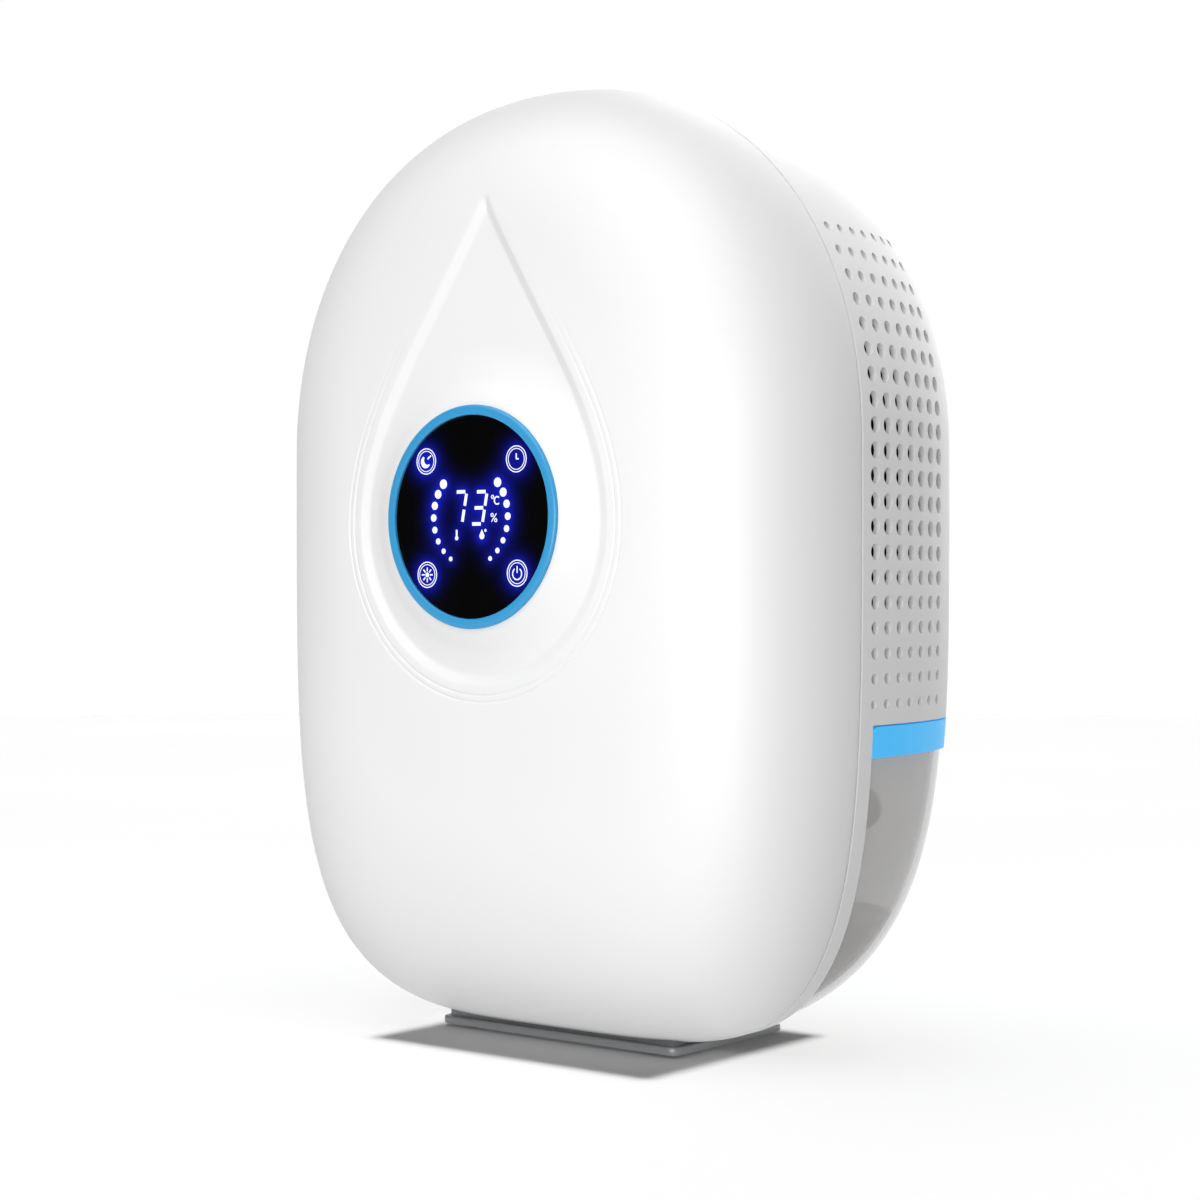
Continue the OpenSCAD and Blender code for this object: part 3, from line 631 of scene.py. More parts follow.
def dome_depth(points, shape):
    """How far each point of the face falls back from the display toward the rolled edge, in millimetres."""
    radius = np.hypot(points[:, 0], points[:, 2] - DISPLAY_Z)
    near = np.clip((radius - RING_R) / 22, 0, 1)
    far = np.clip((radius - RING_R - 12) / 60, 0, 1)
    share = 0.65 * near * near * (3 - 2 * near) + 0.35 * far * far * (3 - 2 * far)
    fade = np.clip(1 - (points[:, 1] - FACE_Y) / 30, 0, 1) ** 2
    return shape.dome_depth / MM * share * fade


def face_depth(x, z, shape):
    """How deep the teardrop and its grooves are in millimetres at each point."""
    edge = drop_distance(x, z)
    deep = shape.recess_depth / MM
    sunk = deep * soft_ramp(-edge, shape.recess_slope / MM, 0.5)
    # The collar round the display climbs back to the level of the face.
    radius = np.hypot(x, z - DISPLAY_Z)
    collar = soft_ramp(COLLAR_FOOT_R - radius, COLLAR_FOOT_R - COLLAR_R, 0.9)
    sunk *= 1 - collar
    # Two hair-thin grooves outside the teardrop, fading out towards its tip.
    fade = np.clip((DISPLAY_Z + 78 - z) / 50, 0, 1)
    for distance in (3.4, 5.9):
        sunk += 0.28 * fade * np.exp(-((edge - distance) / 0.42) ** 2)
    return sunk


def cover_shape(shape):
    """The front cover: face, rolled edge, rounded rim and inside, as one closed skin."""
    count, face_rings, roll_rings = 560, 90, 56
    turn = np.arange(count) * 2 * math.pi / count
    angle = math.pi / 2 + turn - 0.6 * np.sin(turn)          # closer together at the teardrop's tip
    flat = rolled_ring(-1, math.pi / 2, angle)
    toward = np.arctan2(flat[:, 2] - DISPLAY_Z, flat[:, 0])
    hole = np.column_stack((HOLE_R * np.cos(toward), flat[:, 1], DISPLAY_Z + HOLE_R * np.sin(toward)))
    # Rings of points lie closest together where the teardrop's edge and its grooves are.
    shares = np.linspace(0, 1, 300)
    ray = hole[:, None] + (flat - hole)[:, None] * shares[:, None]
    edge = drop_distance(ray[..., 0].ravel(), ray[..., 2].ravel()).reshape(count, len(shares))
    weight = 1 + 6 * np.exp(-((edge - 4.6) / 2.6) ** 2) + 3 * np.exp(-((edge + 2.2) / 3) ** 2)
    filled = np.cumsum(weight, axis=1)
    filled = (filled - filled[:, :1]) / (filled[:, -1:] - filled[:, :1])
    spread = np.array([np.interp(np.arange(face_rings) / face_rings, row, shares) for row in filled])
    rings = [hole + (flat - hole) * spread[:, k:k + 1] for k in range(face_rings)]
    for k in range(roll_rings):
        rings.append(rolled_ring(-1, math.pi / 2 * (1 - (k / roll_rings) ** 1.4), angle))
    outer = np.concatenate(rings)
    outer[:, 1] += dome_depth(outer, shape) + face_depth(outer[:, 0], outer[:, 2], shape)
    # The rim at the seam, rounded to 0.8 mm.
    rim = 0.8
    rims = []
    for k in range(5):
        bend = math.pi / 2 * k / 4
        pull = rim * (1 - math.cos(bend))
        x, z = outline(angle, pull, pull)
        rims.append(np.column_stack((x, np.full_like(x, SEAM_Y - RIM_GAP - rim + rim * math.sin(bend)), z)))
    inner = [rolled_ring(-1, math.pi / 2 * k / 14, angle, WALL) for k in range(15)]
    inner[0][:, 1] = SEAM_Y - RIM_GAP
    back = hole + [0, WALL, 0]
    inner += [inner[-1] + (back - inner[-1]) * k / 12 for k in range(1, 13)]
    inner = np.concatenate(inner)
    inner[:, 1] += dome_depth(inner - [0, WALL, 0], shape)
    points = np.concatenate((outer, *rims, inner))
    points[:, 2] = np.maximum(points[:, 2], BODY_LOW_Z)
    rows = len(points) // count
    return points, grid_faces(rows, count, wrap_rows=True)


def make_front_cover(finishes, shape):
    cover = new_object("front_cover_skin", cover_shape(shape))
    finish_piece(cover, "housing", finishes["white_shell"], ["front_cover"], sharp=50)


# ---- rear shell ----------------------------------------------------------------------------------

def tool(shape):
    """A tool for combine()."""
    return new_object("tool", shape)


def bars_along_y(sites, y0, y1, radius, steps=40):
    """Bars along Y at (x, z) sites, as one tool."""
    return tool(merged(*[rod_shape((x, y0, z), (x, y1, z), radius, steps) for x, z in sites]))


def vent_tool():
    """The bars that drill the vents of both sides."""
    bars = []
    for row in range(VENT_ROWS):
        growth = math.sin(math.pi * (row + 0.5) / VENT_ROWS)
        radius = (VENT_END_D + (VENT_MIDDLE_D - VENT_END_D) * growth) / 2
        for column in range(VENT_COLS):
            y, z = BAY_Y + VENT_PITCH_Y * column, VENT_LOW_Z + VENT_PITCH_Z * row
            bars += [rod_shape((side * VENT_X0, y, z), (side * VENT_X1, y, z), radius, 28)
                     for side in (-1, 1)]
    return tool(merged(*bars))


def line_inside(shell, vent_shade_finish):
    """Paints the inner side of the rear shell's wall by the vents with the dark foam finish: painted shade
    that makes the vents look dark.
    """
    mesh = shell.data
    mesh.materials.append(vent_shade_finish)
    centres = np.zeros(len(mesh.polygons) * 3)
    mesh.polygons.foreach_get("center", centres)
    centres = centres.reshape(-1, 3) / MM
    by_vents = ((centres[:, 1] > BAY_Y - 6) & (centres[:, 1] < REAR_Y - WALL + 0.3)
                & (centres[:, 2] > BAY_TOP_Z + 0.5))
    painted_shade_faces = (body_level(centres, 1, WALL - 0.3) < 1) & by_vents
    mesh.polygons.foreach_set("material_index", painted_shade_faces.astype(np.int32))


def make_rear_shell(finishes):
    shell = half_body("rear_shell_skin", 1)
    bay = box_shape((-FAR, BAY_Y, -FAR), (FAR, FAR, BAY_TOP_Z))
    inner = half_body("inside", 1, WALL)
    combine(inner, "DIFFERENCE", tool(box_shape((-FAR, BAY_Y - WALL, -FAR), (FAR, FAR, BAY_TOP_Z + WALL))))
    posts = bars_along_y(CASE_SCREWS, SEAM_Y + 1.2, REAR_Y + 5, POST_R)
    combine(posts, "INTERSECT", half_body("post_limit", 1, 0.5))
    combine(shell, "DIFFERENCE", inner)
    combine(shell, "UNION", posts)
    outlet = rod_shape((0, REAR_Y - 10, FAN_Z), (0, REAR_Y + 5, FAN_Z), OUTLET_R, 160)
    step = rod_shape((0, REAR_Y - OUTLET_STEP, FAN_Z), (0, REAR_Y + 5, FAN_Z), OUTLET_STEP_R, 160)
    combine(shell, "DIFFERENCE", tool(bay), tool(outlet), tool(step), vent_tool(),
            tool(box_shape((-FAR, -FAR, -FAR), (FAR, SEAM_Y + RIM_GAP, FAR))),
            tool(box_shape((-FAR, -FAR, -FAR), (FAR, FAR, BODY_LOW_Z))),
            bars_along_y([(JACK_X, JACK_Z)], REAR_Y - 10, REAR_Y + 5, JACK_HOLE_R),
            bars_along_y(CASE_SCREWS, SCREW_Y, REAR_Y + 5, SCREW_HEAD_R),
            bars_along_y(CASE_SCREWS, SEAM_Y - 1, REAR_Y + 5, SCREW_HOLE_R),
            tool(rod_shape((0, SPOUT_Y, BAY_TOP_Z - 1), (0, SPOUT_Y, BAY_TOP_Z + 4), SPOUT_R)))
    finish_piece(shell, "housing", finishes["white_shell"], ["rear_shell"])
    true_normals(shell, 1, 0.0, WALL)
    # The dark foam finish inside the shell by the vents is painted shade.
    line_inside(shell, finishes["foam"])


def make_outlet_grille(finishes):
    """Round rings on eight spokes, in a flange that sits in the step of the shell."""
    front = GRILLE_LOW[1]
    back = GRILLE_HIGH[1]
    bands = [(45.6, 50.0, REAR_Y - OUTLET_STEP), (43.0, OUTLET_R, front)]
    bands += [(r - 1, r + 1, front) for r in np.arange(13, 43.5, 7.5)]
    shapes = [lathe_shape(rounded_profile((low, y), (high, back), 0.6), 0, FAN_Z)
              for low, high, y in bands]
    hub = [(0, front), (7.2, front), (8, front + 0.8), (8, back - 0.8), (7.2, back), (0, back)]
    shapes.append(lathe_shape(hub, 0, FAN_Z, 64))
    for k in range(8):
        turn = math.pi / 4 * k
        across = np.array((math.cos(turn), 0, math.sin(turn)))
        aside = np.array((-math.sin(turn), 0, math.cos(turn)))
        section = rounded_profile((-1, front + 0.5), (1, back - 0.4), 0.5, 2)
        ends = [[across * r + aside * u + np.array((0, y, FAN_Z)) for u, y in section]
                for r in (7.0, 43.6)]
        shapes.append((np.concatenate(ends), tube_faces(2, len(section))))
    grille = new_object("outlet_rings", merged(*shapes))
    finish_piece(grille, "housing", finishes["white_shell"], ["outlet_grille"])


# ---- display -------------------------------------------------------------------------------------

def make_display_ring(finishes):
    """The blue ring round the display, with a soft outer edge, and the collar behind it."""
    front, lens_r = RING_LOW[1], RING_R - 3.7
    profile = [(RING_R, FACE_Y), (RING_R, front + 0.9), (RING_R - 0.15, front + 0.45),
               (RING_R - 0.5, front + 0.12), (RING_R - 1.0, front), (lens_r + 0.7, front),
               (lens_r + 0.2, front + 0.12), (lens_r, front + 0.4), (lens_r, FACE_Y + 6),
               (lens_r + 1.7, FACE_Y + 6), (lens_r + 1.7, FACE_Y)]
    ring = new_object("display_ring", lathe_shape(profile, 0, DISPLAY_Z, 240))
    finish_piece(ring, "housing", finishes["blue_trim"], ["display_bezel"])


def circle(x, z, radius, start=0, end=360, steps=40):
    """Points along a circle, by angle in degrees from +X."""
    turns = np.radians(np.linspace(start, end, steps + 1))
    return np.column_stack((x + radius * np.cos(turns), z + radius * np.sin(turns)))


SEGMENTS = {                # ends of the seven bars of a digit, as shares of its width and height
    "a": ((0, 1), (1, 1)), "b": ((1, 1), (1, 0.5)), "c": ((1, 0.5), (1, 0)), "d": ((0, 0), (1, 0)),
    "e": ((0, 0), (0, 0.5)), "f": ((0, 0.5), (0, 1)), "g": ((0, 0.5), (1, 0.5))}
LIT = {"0": "abcdef", "1": "bc", "2": "abged", "3": "abgcd", "4": "fgbc", "5": "afgcd", "6": "afgedc",
       "7": "abc", "8": "abcdefg", "9": "abcdfg"}
DIGIT_W, DIGIT_H, DIGIT_SLANT = 5.6, 11.6, 0.2
NEAR_GLOW, NEAR_GLOW_R = 0.8, 1.9        # strength and reach of the light close to a lit line
FAR_GLOW, FAR_GLOW_R = 0.16, 4.6         # and of the faint light further out
GLOW_GAIN = 0.2


def digit_strokes(digit, x, z):
    """The lit bars of one slanted digit whose lower left corner is at (x, z)."""
    strokes = []
    for name in LIT[digit]:
        ends = np.array(SEGMENTS[name], float) * (DIGIT_W, DIGIT_H)
        along = (ends[1] - ends[0]) / np.linalg.norm(ends[1] - ends[0])
        ends = ends + np.array((along, -along)) * 0.75
        ends[:, 0] += ends[:, 1] * DIGIT_SLANT
        strokes.append((ends + (x, z), 1.25))
    return strokes


def display_strokes(value):
    """Every lit line of the display as (points, width), from the middle of the display."""
    strokes = digit_strokes(str(value)[0], -9.6, -2.4) + digit_strokes(str(value)[1], 0.2, -2.6)
    for side in (-1, 1):
        for k in range(8):
            turn = math.radians(43 - 14.4 * k)
            size = 3.5 - 0.25 * k
            middle = (side * 17.9 * math.cos(turn), 17.9 * math.sin(turn))
            strokes.append((circle(*middle, size / 4, steps=12), size / 2))
    for x, z in ((-21.6, 20.8), (21.9, 20.3), (-21.1, -20.9), (22.3, -20.5)):
        strokes.append((circle(x, z, 4.65), 0.36))
        strokes.append((circle(x, z, 3.75), 0.28))
    # moon and two small stars
    moon = np.concatenate((circle(-21.9, 20.6, 2.3, 120, 330, 24), circle(-21.0, 21.3, 1.75, 300, 150, 24)))
    strokes.append((moon, -1))
    strokes.append((np.array(((-20.9, 21.6), (-20.1, 22.4))), 0.6))
    strokes.append((np.array(((-19.9, 22.3), (-19.3, 22.9))), 0.5))
    # clock hands
    strokes.append((np.array(((21.9, 20.3), (21.9, 22.3))), 0.5))
    strokes.append((np.array(((21.9, 20.3), (23.0, 20.3))), 0.5))
    # defrost star
    for k in range(8):
        turn = math.pi / 4 * k
        ray = np.array((math.cos(turn), math.sin(turn)))
        strokes.append((np.array((ray * 1.3, ray * 2.7)) + (-21.1, -20.9), 0.5))
    strokes.append((circle(-21.1, -20.9, 0.45, steps=12), 0.9))
    # power sign
    strokes.append((circle(22.3, -20.7, 2.1, 125, 415, 28), 0.45))
    strokes.append((np.array(((22.3, -20.4), (22.3, -17.9))), 0.45))
    # degree and percent signs, thermometer and drop
    strokes += [(circle(10.7, 7.0, 0.55, steps=12), 0.35), (circle(12.9, 5.7, 1.35, 50, 310, 18), 0.5)]
    strokes += [(circle(10.5, 0.5, 0.55, steps=12), 0.35), (circle(12.2, -1.4, 0.55, steps=12), 0.35),
                (np.array(((10.2, -1.9), (12.5, 1.0))), 0.35)]
    strokes += [(np.array(((-6.6, -4.6), (-6.6, -7.0))), 0.8), (circle(-6.6, -7.6, 0.4, steps=12), 0.8)]
    drop = np.concatenate((circle(5.6, -7.0, 1.15, 150, 390, 20), [(5.6, -4.6)]))
    strokes += [(drop, -1), (circle(7.3, -5.0, 0.3, steps=10), 0.5)]
    return strokes


def stroke_shape(points, width, y0, y1):
    """A flat ribbon along points, or a filled outline where width is negative, as a thin solid."""
    if width < 0:
        loops = [points]
        closed = False
    else:
        closed = len(points) > 2 and np.allclose(points[0], points[-1])
        points = points[:-1] if closed else points
        if closed:
            along = np.roll(points, -1, 0) - np.roll(points, 1, 0)
        else:
            along = np.gradient(points, axis=0)
        along = along / np.linalg.norm(along, axis=1, keepdims=True)
        aside = np.column_stack((-along[:, 1], along[:, 0])) * width / 2
        loops = [points + aside, points - aside]
    n = len(points)
    flat = np.concatenate(loops)
    x, z = flat[:, 0], DISPLAY_Z + flat[:, 1]
    solid = np.concatenate([np.column_stack((x, np.full_like(x, y), z)) for y in (y0, y1)])
    m = len(flat)
    if width < 0:
        faces = [list(range(n)), [m + i for i in range(n)][::-1]]
        faces += [[i, (i + 1) % n, m + (i + 1) % n, m + i] for i in range(n)]
        return solid, faces
    faces = []
    for i in range(n if closed else n - 1):
        j = (i + 1) % n
        faces += [[i, j, n + j, n + i], [m + i, m + n + i, m + n + j, m + j],
                  [i, m + i, m + j, j], [n + i, n + j, m + n + j, m + n + i]]
    if not closed:
        faces += [[0, n, m + n, m], [n - 1, m + n - 1, m + 2 * n - 1, 2 * n - 1]]
    return solid, faces


def spread_glow(spots, strokes):
    """How much light, from 0 to 1, the lit lines spread to each spot of the window."""
    glow = np.zeros(len(spots))
    for line, width in strokes:
        steps = np.linspace(0, len(line) - 1, max(len(line), 6))
        x = np.interp(steps, np.arange(len(line)), line[:, 0])
        z = np.interp(steps, np.arange(len(line)), line[:, 1])
        length = np.linalg.norm(np.diff(line, axis=0), axis=1).sum()
        power = max(abs(width), 0.3) * max(length, 0.5) / len(steps)
        for u, v in zip(x, z):
            away = (spots[:, 0] - u) ** 2 + (spots[:, 2] - DISPLAY_Z - v) ** 2
            glow += power * (NEAR_GLOW * np.exp(-away / NEAR_GLOW_R ** 2)
                             + FAR_GLOW * np.exp(-away / FAR_GLOW_R ** 2))
    return 1 - np.exp(-glow * GLOW_GAIN)


def make_display(finishes, colours, shape):
    """The black window with its spreading glow, and the lit signs that show through it."""
    lens_r = RING_R - 3.8
    front = FACE_Y - 0.7
    strokes = display_strokes(shape.shown_value)

    # The window: close rings of points, so that the glow can be kept at each of them.
    radii = np.concatenate((np.linspace(0, lens_r - 0.4, 90), [lens_r - 0.1, lens_r]))
    count = 200
    turns = np.arange(count) * 2 * math.pi / count
    depth = np.where(radii > lens_r - 0.2, front + 0.25, front)
    depth[-1] = front + 0.5
    rings = [np.column_stack((r * np.cos(turns), np.full(count, y), DISPLAY_Z + r * np.sin(turns)))
             for r, y in zip(radii, depth)]
    back = rings[-1].copy()
    back[:, 1] = FACE_Y + 1.3
    centre = back.copy()
    centre[:, (0, 2)] = (0, DISPLAY_Z)
    points = np.concatenate(rings + [back, centre])
    window = new_object("display_window", (points, grid_faces(len(rings) + 2, count)))

    spots = np.zeros(len(window.data.vertices) * 3)
    window.data.vertices.foreach_get("co", spots)
    spots = spots.reshape(-1, 3) / MM
    glow = np.where(spots[:, 1] < front + 0.1, spread_glow(spots, strokes), 0)
    field = window.data.attributes.new("glow", "FLOAT", "POINT")
    field.data.foreach_set("value", glow.astype(np.float32))

    # Smoked PMMA, polished: near black and glassy, carrying the blue light that leaks round the signs.
    finish, tree, shader, place = new_finish("polished smoked PMMA", IOR=1.49, **{
        "Emission Strength": 0.9, "Specular IOR Level": 0.15})
    tint(tree, shader, grain(tree, place, 30, 1), linear("010101"), linear("030304"))
    vary_roughness(tree, shader, grain(tree, place, 15), 0.1, 0.16)
    spread = add_node(tree, "ShaderNodeAttribute", attribute_name="glow", attribute_type="GEOMETRY")
    ramp = add_node(tree, "ShaderNodeMix", {
        0: spread.outputs["Fac"], 6: (0, 0, 0, 1), 7: tuple(colours.glow)}, data_type="RGBA")
    tree.links.new(ramp.outputs[2], shader.inputs["Emission Color"])
    finish_piece(window, "housing", finish, ["display_lens"])

    # Signs printed in diffusing white ink over LEDs: bluish white, brightest in their middle.
    signs = new_object("display_signs", merged(*[
        stroke_shape(line, width, front - 0.06, front + 0.2) for line, width in strokes]))
    finish, tree, shader, place = new_finish("diffusing LED ink", Roughness=0.5, **{
        "Base Color": linear("10131C"), "Emission Strength": 1.25})
    mottled = add_node(tree, "ShaderNodeMix", {
        0: grain(tree, place, 2.5, 1), 6: linear("DDE4FF"), 7: linear("FFFFFF")}, data_type="RGBA")
    tree.links.new(mottled.outputs[2], shader.inputs["Emission Color"])
    finish_piece(signs, "housing", finish)


# ---- tank ----------------------------------------------------------------------------------------


def make_water_tank(finishes):
    """The clear tank with its real wall, finger pocket and boss for the drain plug."""
    inner_shrink = TANK_SHRINK + TANK_WALL
    tank = half_body("water_tank_skin", 1, TANK_SHRINK)
    kept_part = box_shape((-FAR, TANK_Y + TANK_GAP, TANK_LOW_Z), (FAR, FAR, BAND_LOW_Z))
    combine(tank, "INTERSECT", tool(kept_part))
    inside = half_body("tank_inside", 1, inner_shrink)
    combine(inside, "INTERSECT", tool(box_shape((-FAR, TANK_Y + TANK_WALL, TANK_LOW_Z + TANK_WALL),
                                                (FAR, FAR, BAND_LOW_Z + 1))))
    combine(tank, "DIFFERENCE", inside)
    pocket = tool(box_shape((-GRIP_HALF_W - TANK_WALL, REAR_Y - TANK_SHRINK - GRIP_D - TANK_WALL,
                             GRIP_LOW_Z - TANK_WALL), (GRIP_HALF_W + TANK_WALL, REAR_Y, LID_LOW[2] + 14.2)))
    combine(pocket, "DIFFERENCE", tool(box_shape((-FAR, REAR_Y - TANK_SHRINK - 1, -FAR), (FAR, FAR, FAR))),
            tool(box_shape((-FAR, REAR_Y - BAND_T - 0.8, BAND_LOW_Z), (FAR, FAR, FAR))),
            tool(box_shape((-FAR, -FAR, BAND_TOP_Z - 2.7), (FAR, FAR, FAR))))
    combine(tank, "UNION", pocket,
            tool(rod_shape((PLUG_X, REAR_Y - 8, PLUG_Z), (PLUG_X, REAR_Y - TANK_SHRINK, PLUG_Z),
                           PLUG_BOSS_R)))
    combine(tank, "DIFFERENCE",
            tool(box_shape((-GRIP_HALF_W, REAR_Y - TANK_SHRINK - GRIP_D, GRIP_LOW_Z),
                           (GRIP_HALF_W, REAR_Y + 5, BAND_TOP_Z + 5))),
            tool(rod_shape((PLUG_X, REAR_Y - 10, PLUG_Z), (PLUG_X, REAR_Y + 1, PLUG_Z), PLUG_R + 0.05)))
    finish_piece(tank, "tank", finishes["smoke_clear"], ["water_tank"])
    true_normals(tank, 1, TANK_SHRINK, inner_shrink)


def make_collected_water(shape):
    """The water in the tank, with a level top."""
    inset = TANK_WALL + 0.05                 # just clear of the wall
    water = half_body("collected_water", 1, TANK_SHRINK + inset)
    combine(water, "INTERSECT", tool(box_shape((-FAR, TANK_Y + inset, TANK_LOW_Z + inset),
                                               (FAR, FAR, shape.water_level / MM))))
    # Still water: a grey body that lets part of the light straight through, with ripples 60 mm long. Its
    # dark grey tone is painted shade for the dim light inside the tank.
    finish, tree, shader, place = new_finish("still water with painted shade", IOR=1.333, Alpha=0.7)
    tint(tree, shader, grain(tree, place, 40, 1), linear("56585A"), linear("5E6061"))
    vary_roughness(tree, shader, grain(tree, place, 60, 1), 0.02, 0.06)
    relief(tree, shader, grain(tree, place, 60, 1), 0.1)
    finish_piece(water, "tank", finish)
    true_normals(water, 1, TANK_SHRINK + inset)


def make_tank_band(finishes):
    """The blue band round the top of the tank, round at its upper front corners."""
    band = half_body("tank_band_skin", 1)
    front, rounding = TANK_Y - 0.2, 3.0
    combine(band, "INTERSECT", tool(box_shape((-FAR, front, BAND_LOW_Z), (FAR, FAR, BAND_TOP_Z))))
    middle_y, middle_z = front + rounding, BAND_TOP_Z - rounding
    corner = tool(box_shape((-FAR, TANK_Y - 1, middle_z), (FAR, middle_y, BAND_TOP_Z + 1)))
    round_bar = rod_shape((-FAR - 1, middle_y, middle_z), (FAR + 1, middle_y, middle_z), rounding)
    combine(corner, "DIFFERENCE", tool(round_bar))
    combine(band, "DIFFERENCE", half_body("band_inside", 1, BAND_T), corner)
    finish_piece(band, "tank", finishes["blue_band"], ["tank_band"])
    true_normals(band, 1, 0.0)


# ---- base and fan --------------------------------------------------------------------------------

def make_base_plate(finishes):
    """A rounded plate with soft edges, and the plinth that fills the wedge under the front."""
    low_z, half_x = PLATE_LOW[2], (PLATE_HIGH[0] - PLATE_LOW[0]) / 2
    front, back = PLATE_LOW[1], PLATE_HIGH[1]
    corner_r = 4
    quarter = np.linspace(0, math.pi / 2, 9)
    rings = []
    for inset, z in ((0.7, low_z), (0.2, low_z + 0.2), (0, low_z + 0.7), (0, PLATE_TOP - 0.7),
                     (0.2, PLATE_TOP - 0.2), (0.7, PLATE_TOP)):
        ring = []
        for k, (sx, sy) in enumerate(((1, 1), (-1, 1), (-1, -1), (1, -1))):
            x, y = sx * (half_x - corner_r), (front + corner_r, back - corner_r)[sy > 0]
            radius = corner_r - inset
            for turn in quarter + k * math.pi / 2:
                ring.append((x + radius * math.cos(turn), y + radius * math.sin(turn), z))
        rings.append(ring)
    faces = tube_faces(len(rings), len(rings[0]))
    plate = new_object("base_plate_lacquered", (np.concatenate(rings), faces))
    plinth = tool(box_shape((-half_x + 3, front + 3, PLATE_TOP - 1),
                            (half_x - 3, BAY_Y - 1, PLATE_TOP + 8)))
    combine(plinth, "DIFFERENCE", half_body("front_limit", -1), half_body("rear_limit", 1),
            tool(box_shape((-FAR, SEAM_Y - 0.5, -FAR), (FAR, SEAM_Y + 0.5, FAR))))
    combine(plate, "UNION", plinth)
    middle_y = (front + back) / 2
    feet = [rod_shape((x, y, -1), (x, y, 2), 6) for x in (-44, 44) for y in (middle_y - 24, middle_y + 24)]
    screws = [rod_shape((x, SEAM_Y - 5, -1), (x, SEAM_Y - 5, low_z + 1.6), 3.2) for x in (-30, 30)]
    combine(plate, "DIFFERENCE", tool(merged(*feet)), tool(merged(*screws)))
    finish_piece(plate, "housing", finishes["silver_plate"], ["base_plate"])


def make_fan_rotor(finishes):
    """The hub and its seven curved blades."""
    hub_y0, hub_y1 = FAN_LOW[1] + 1, FAN_LOW[1] + 20
    middle = (hub_y0 + hub_y1) / 2
    hub = [(0, hub_y0), (16, hub_y0), (17.1, hub_y0 + 0.4), (17.5, hub_y0 + 1.5), (17.5, hub_y1),
           (15.5, hub_y1), (15.5, hub_y0 + 2), (0, hub_y0 + 2)]
    shapes = [lathe_shape(hub, 0, FAN_Z, 96)]
    blades, pitch = 7, 0.7                   # pitch: how steep the blades stand, in radians
    chords, spans = np.linspace(-1, 1, 15), np.linspace(0, 1, 12)
    for k in range(blades):
        rows = []
        for span in spans:
            radius = 16.8 + 25.3 * span
            half_chord = 10.2 + 1.4 * span
            lean = 0.16 * span ** 2
            section = []
            for side in (1, -1):
                for chord in chords[::side]:
                    thick = 0.75 * side * (1 - abs(chord) ** 3) + 0.02 * side
                    arch = 1.6 * (1 - chord ** 2)
                    turn = 2 * math.pi * k / blades + lean + chord * half_chord * math.cos(pitch) / radius
                    y = middle - chord * half_chord * math.sin(pitch) + thick + arch
                    section.append((radius * math.cos(turn), y, FAN_Z + radius * math.sin(turn)))
            rows.append(section)
        shapes.append((np.concatenate(rows), tube_faces(len(rows), len(rows[0]))))
    rotor = new_object("fan_impeller", merged(*shapes))
    finish_piece(rotor, "fan", finishes["black_plastic"], ["fan_rotor"])


def dress_cad_nodes(finishes, record):
    """Gives every CAD node that still shows the finish of its slot."""
    for entry in record["subparts"]:
        node = frame["nodes"][entry["node"]]
        if node.hide_render:
            continue
        finish = finishes["silicone" if entry["node"] == "drain_plug" else entry["material_slot"]]
        if not node.data.materials:
            node.data.materials.append(finish)
        for place in node.material_slots:
            place.material = finish


# ---- stage ---------------------------------------------------------------------------------------

CAMERA_AT = (0.5900, -0.7462, 0.1699)
CAMERA_TURN = math.radians(38.55)
CAMERA_SHIFT = -0.0069167                # share of the frame's width that the picture is moved by
FLOOR_R = 2500.0
SHADOW_CARD = (-60, -70, 6), (72, 40, 7)
BRIGHT_SIDE = (-0.623, 0.782, 0.0)      # the side of the surroundings behind the object


def add_light(name, place, toward, size, power):
    """A square area light that looks at a point."""
    lamp = bpy.data.lights.new(name, "AREA")
    lamp.size = size
    lamp.energy = power
    thing = bpy.data.objects.new(name, lamp)
    thing.location = place
    thing.rotation_euler = (Vector(toward) - Vector(place)).to_track_quat("-Z", "Y").to_euler()
    bpy.context.scene.collection.objects.link(thing)


def add_sun(name, lean, spread, strength):
    """A soft light from above that leans lean degrees to the back and spreads over spread degrees."""
    lamp = bpy.data.lights.new(name, "SUN")
    lamp.energy = strength
    lamp.angle = math.radians(spread)
    thing = bpy.data.objects.new(name, lamp)
    thing.location = (0, 0, 2)
    thing.rotation_euler = (math.radians(-lean), 0, 0)
    bpy.context.scene.collection.objects.link(thing)
    return thing


def make_floor():
    """The plain white floor."""
    turns = np.arange(96) * 2 * math.pi / 96
    rim = np.column_stack((FLOOR_R * np.cos(turns), FLOOR_R * np.sin(turns), 0 * turns))
    floor = new_object("floor", (rim, [list(range(96))]))
    # Matt paper sweep: plain white, with no gloss that would mirror the object.
    finish, tree, shader, place = new_finish("white paper sweep", Roughness=0.9, **{
        "Specular IOR Level": 0.1})
    tint(tree, shader, grain(tree, place, 400, 1), linear("CACACA"), linear("CECECE"))
    floor.data.materials.append(finish)
    floor.visible_diffuse = False         # the floor's bounce would flood the shells from below
    return floor


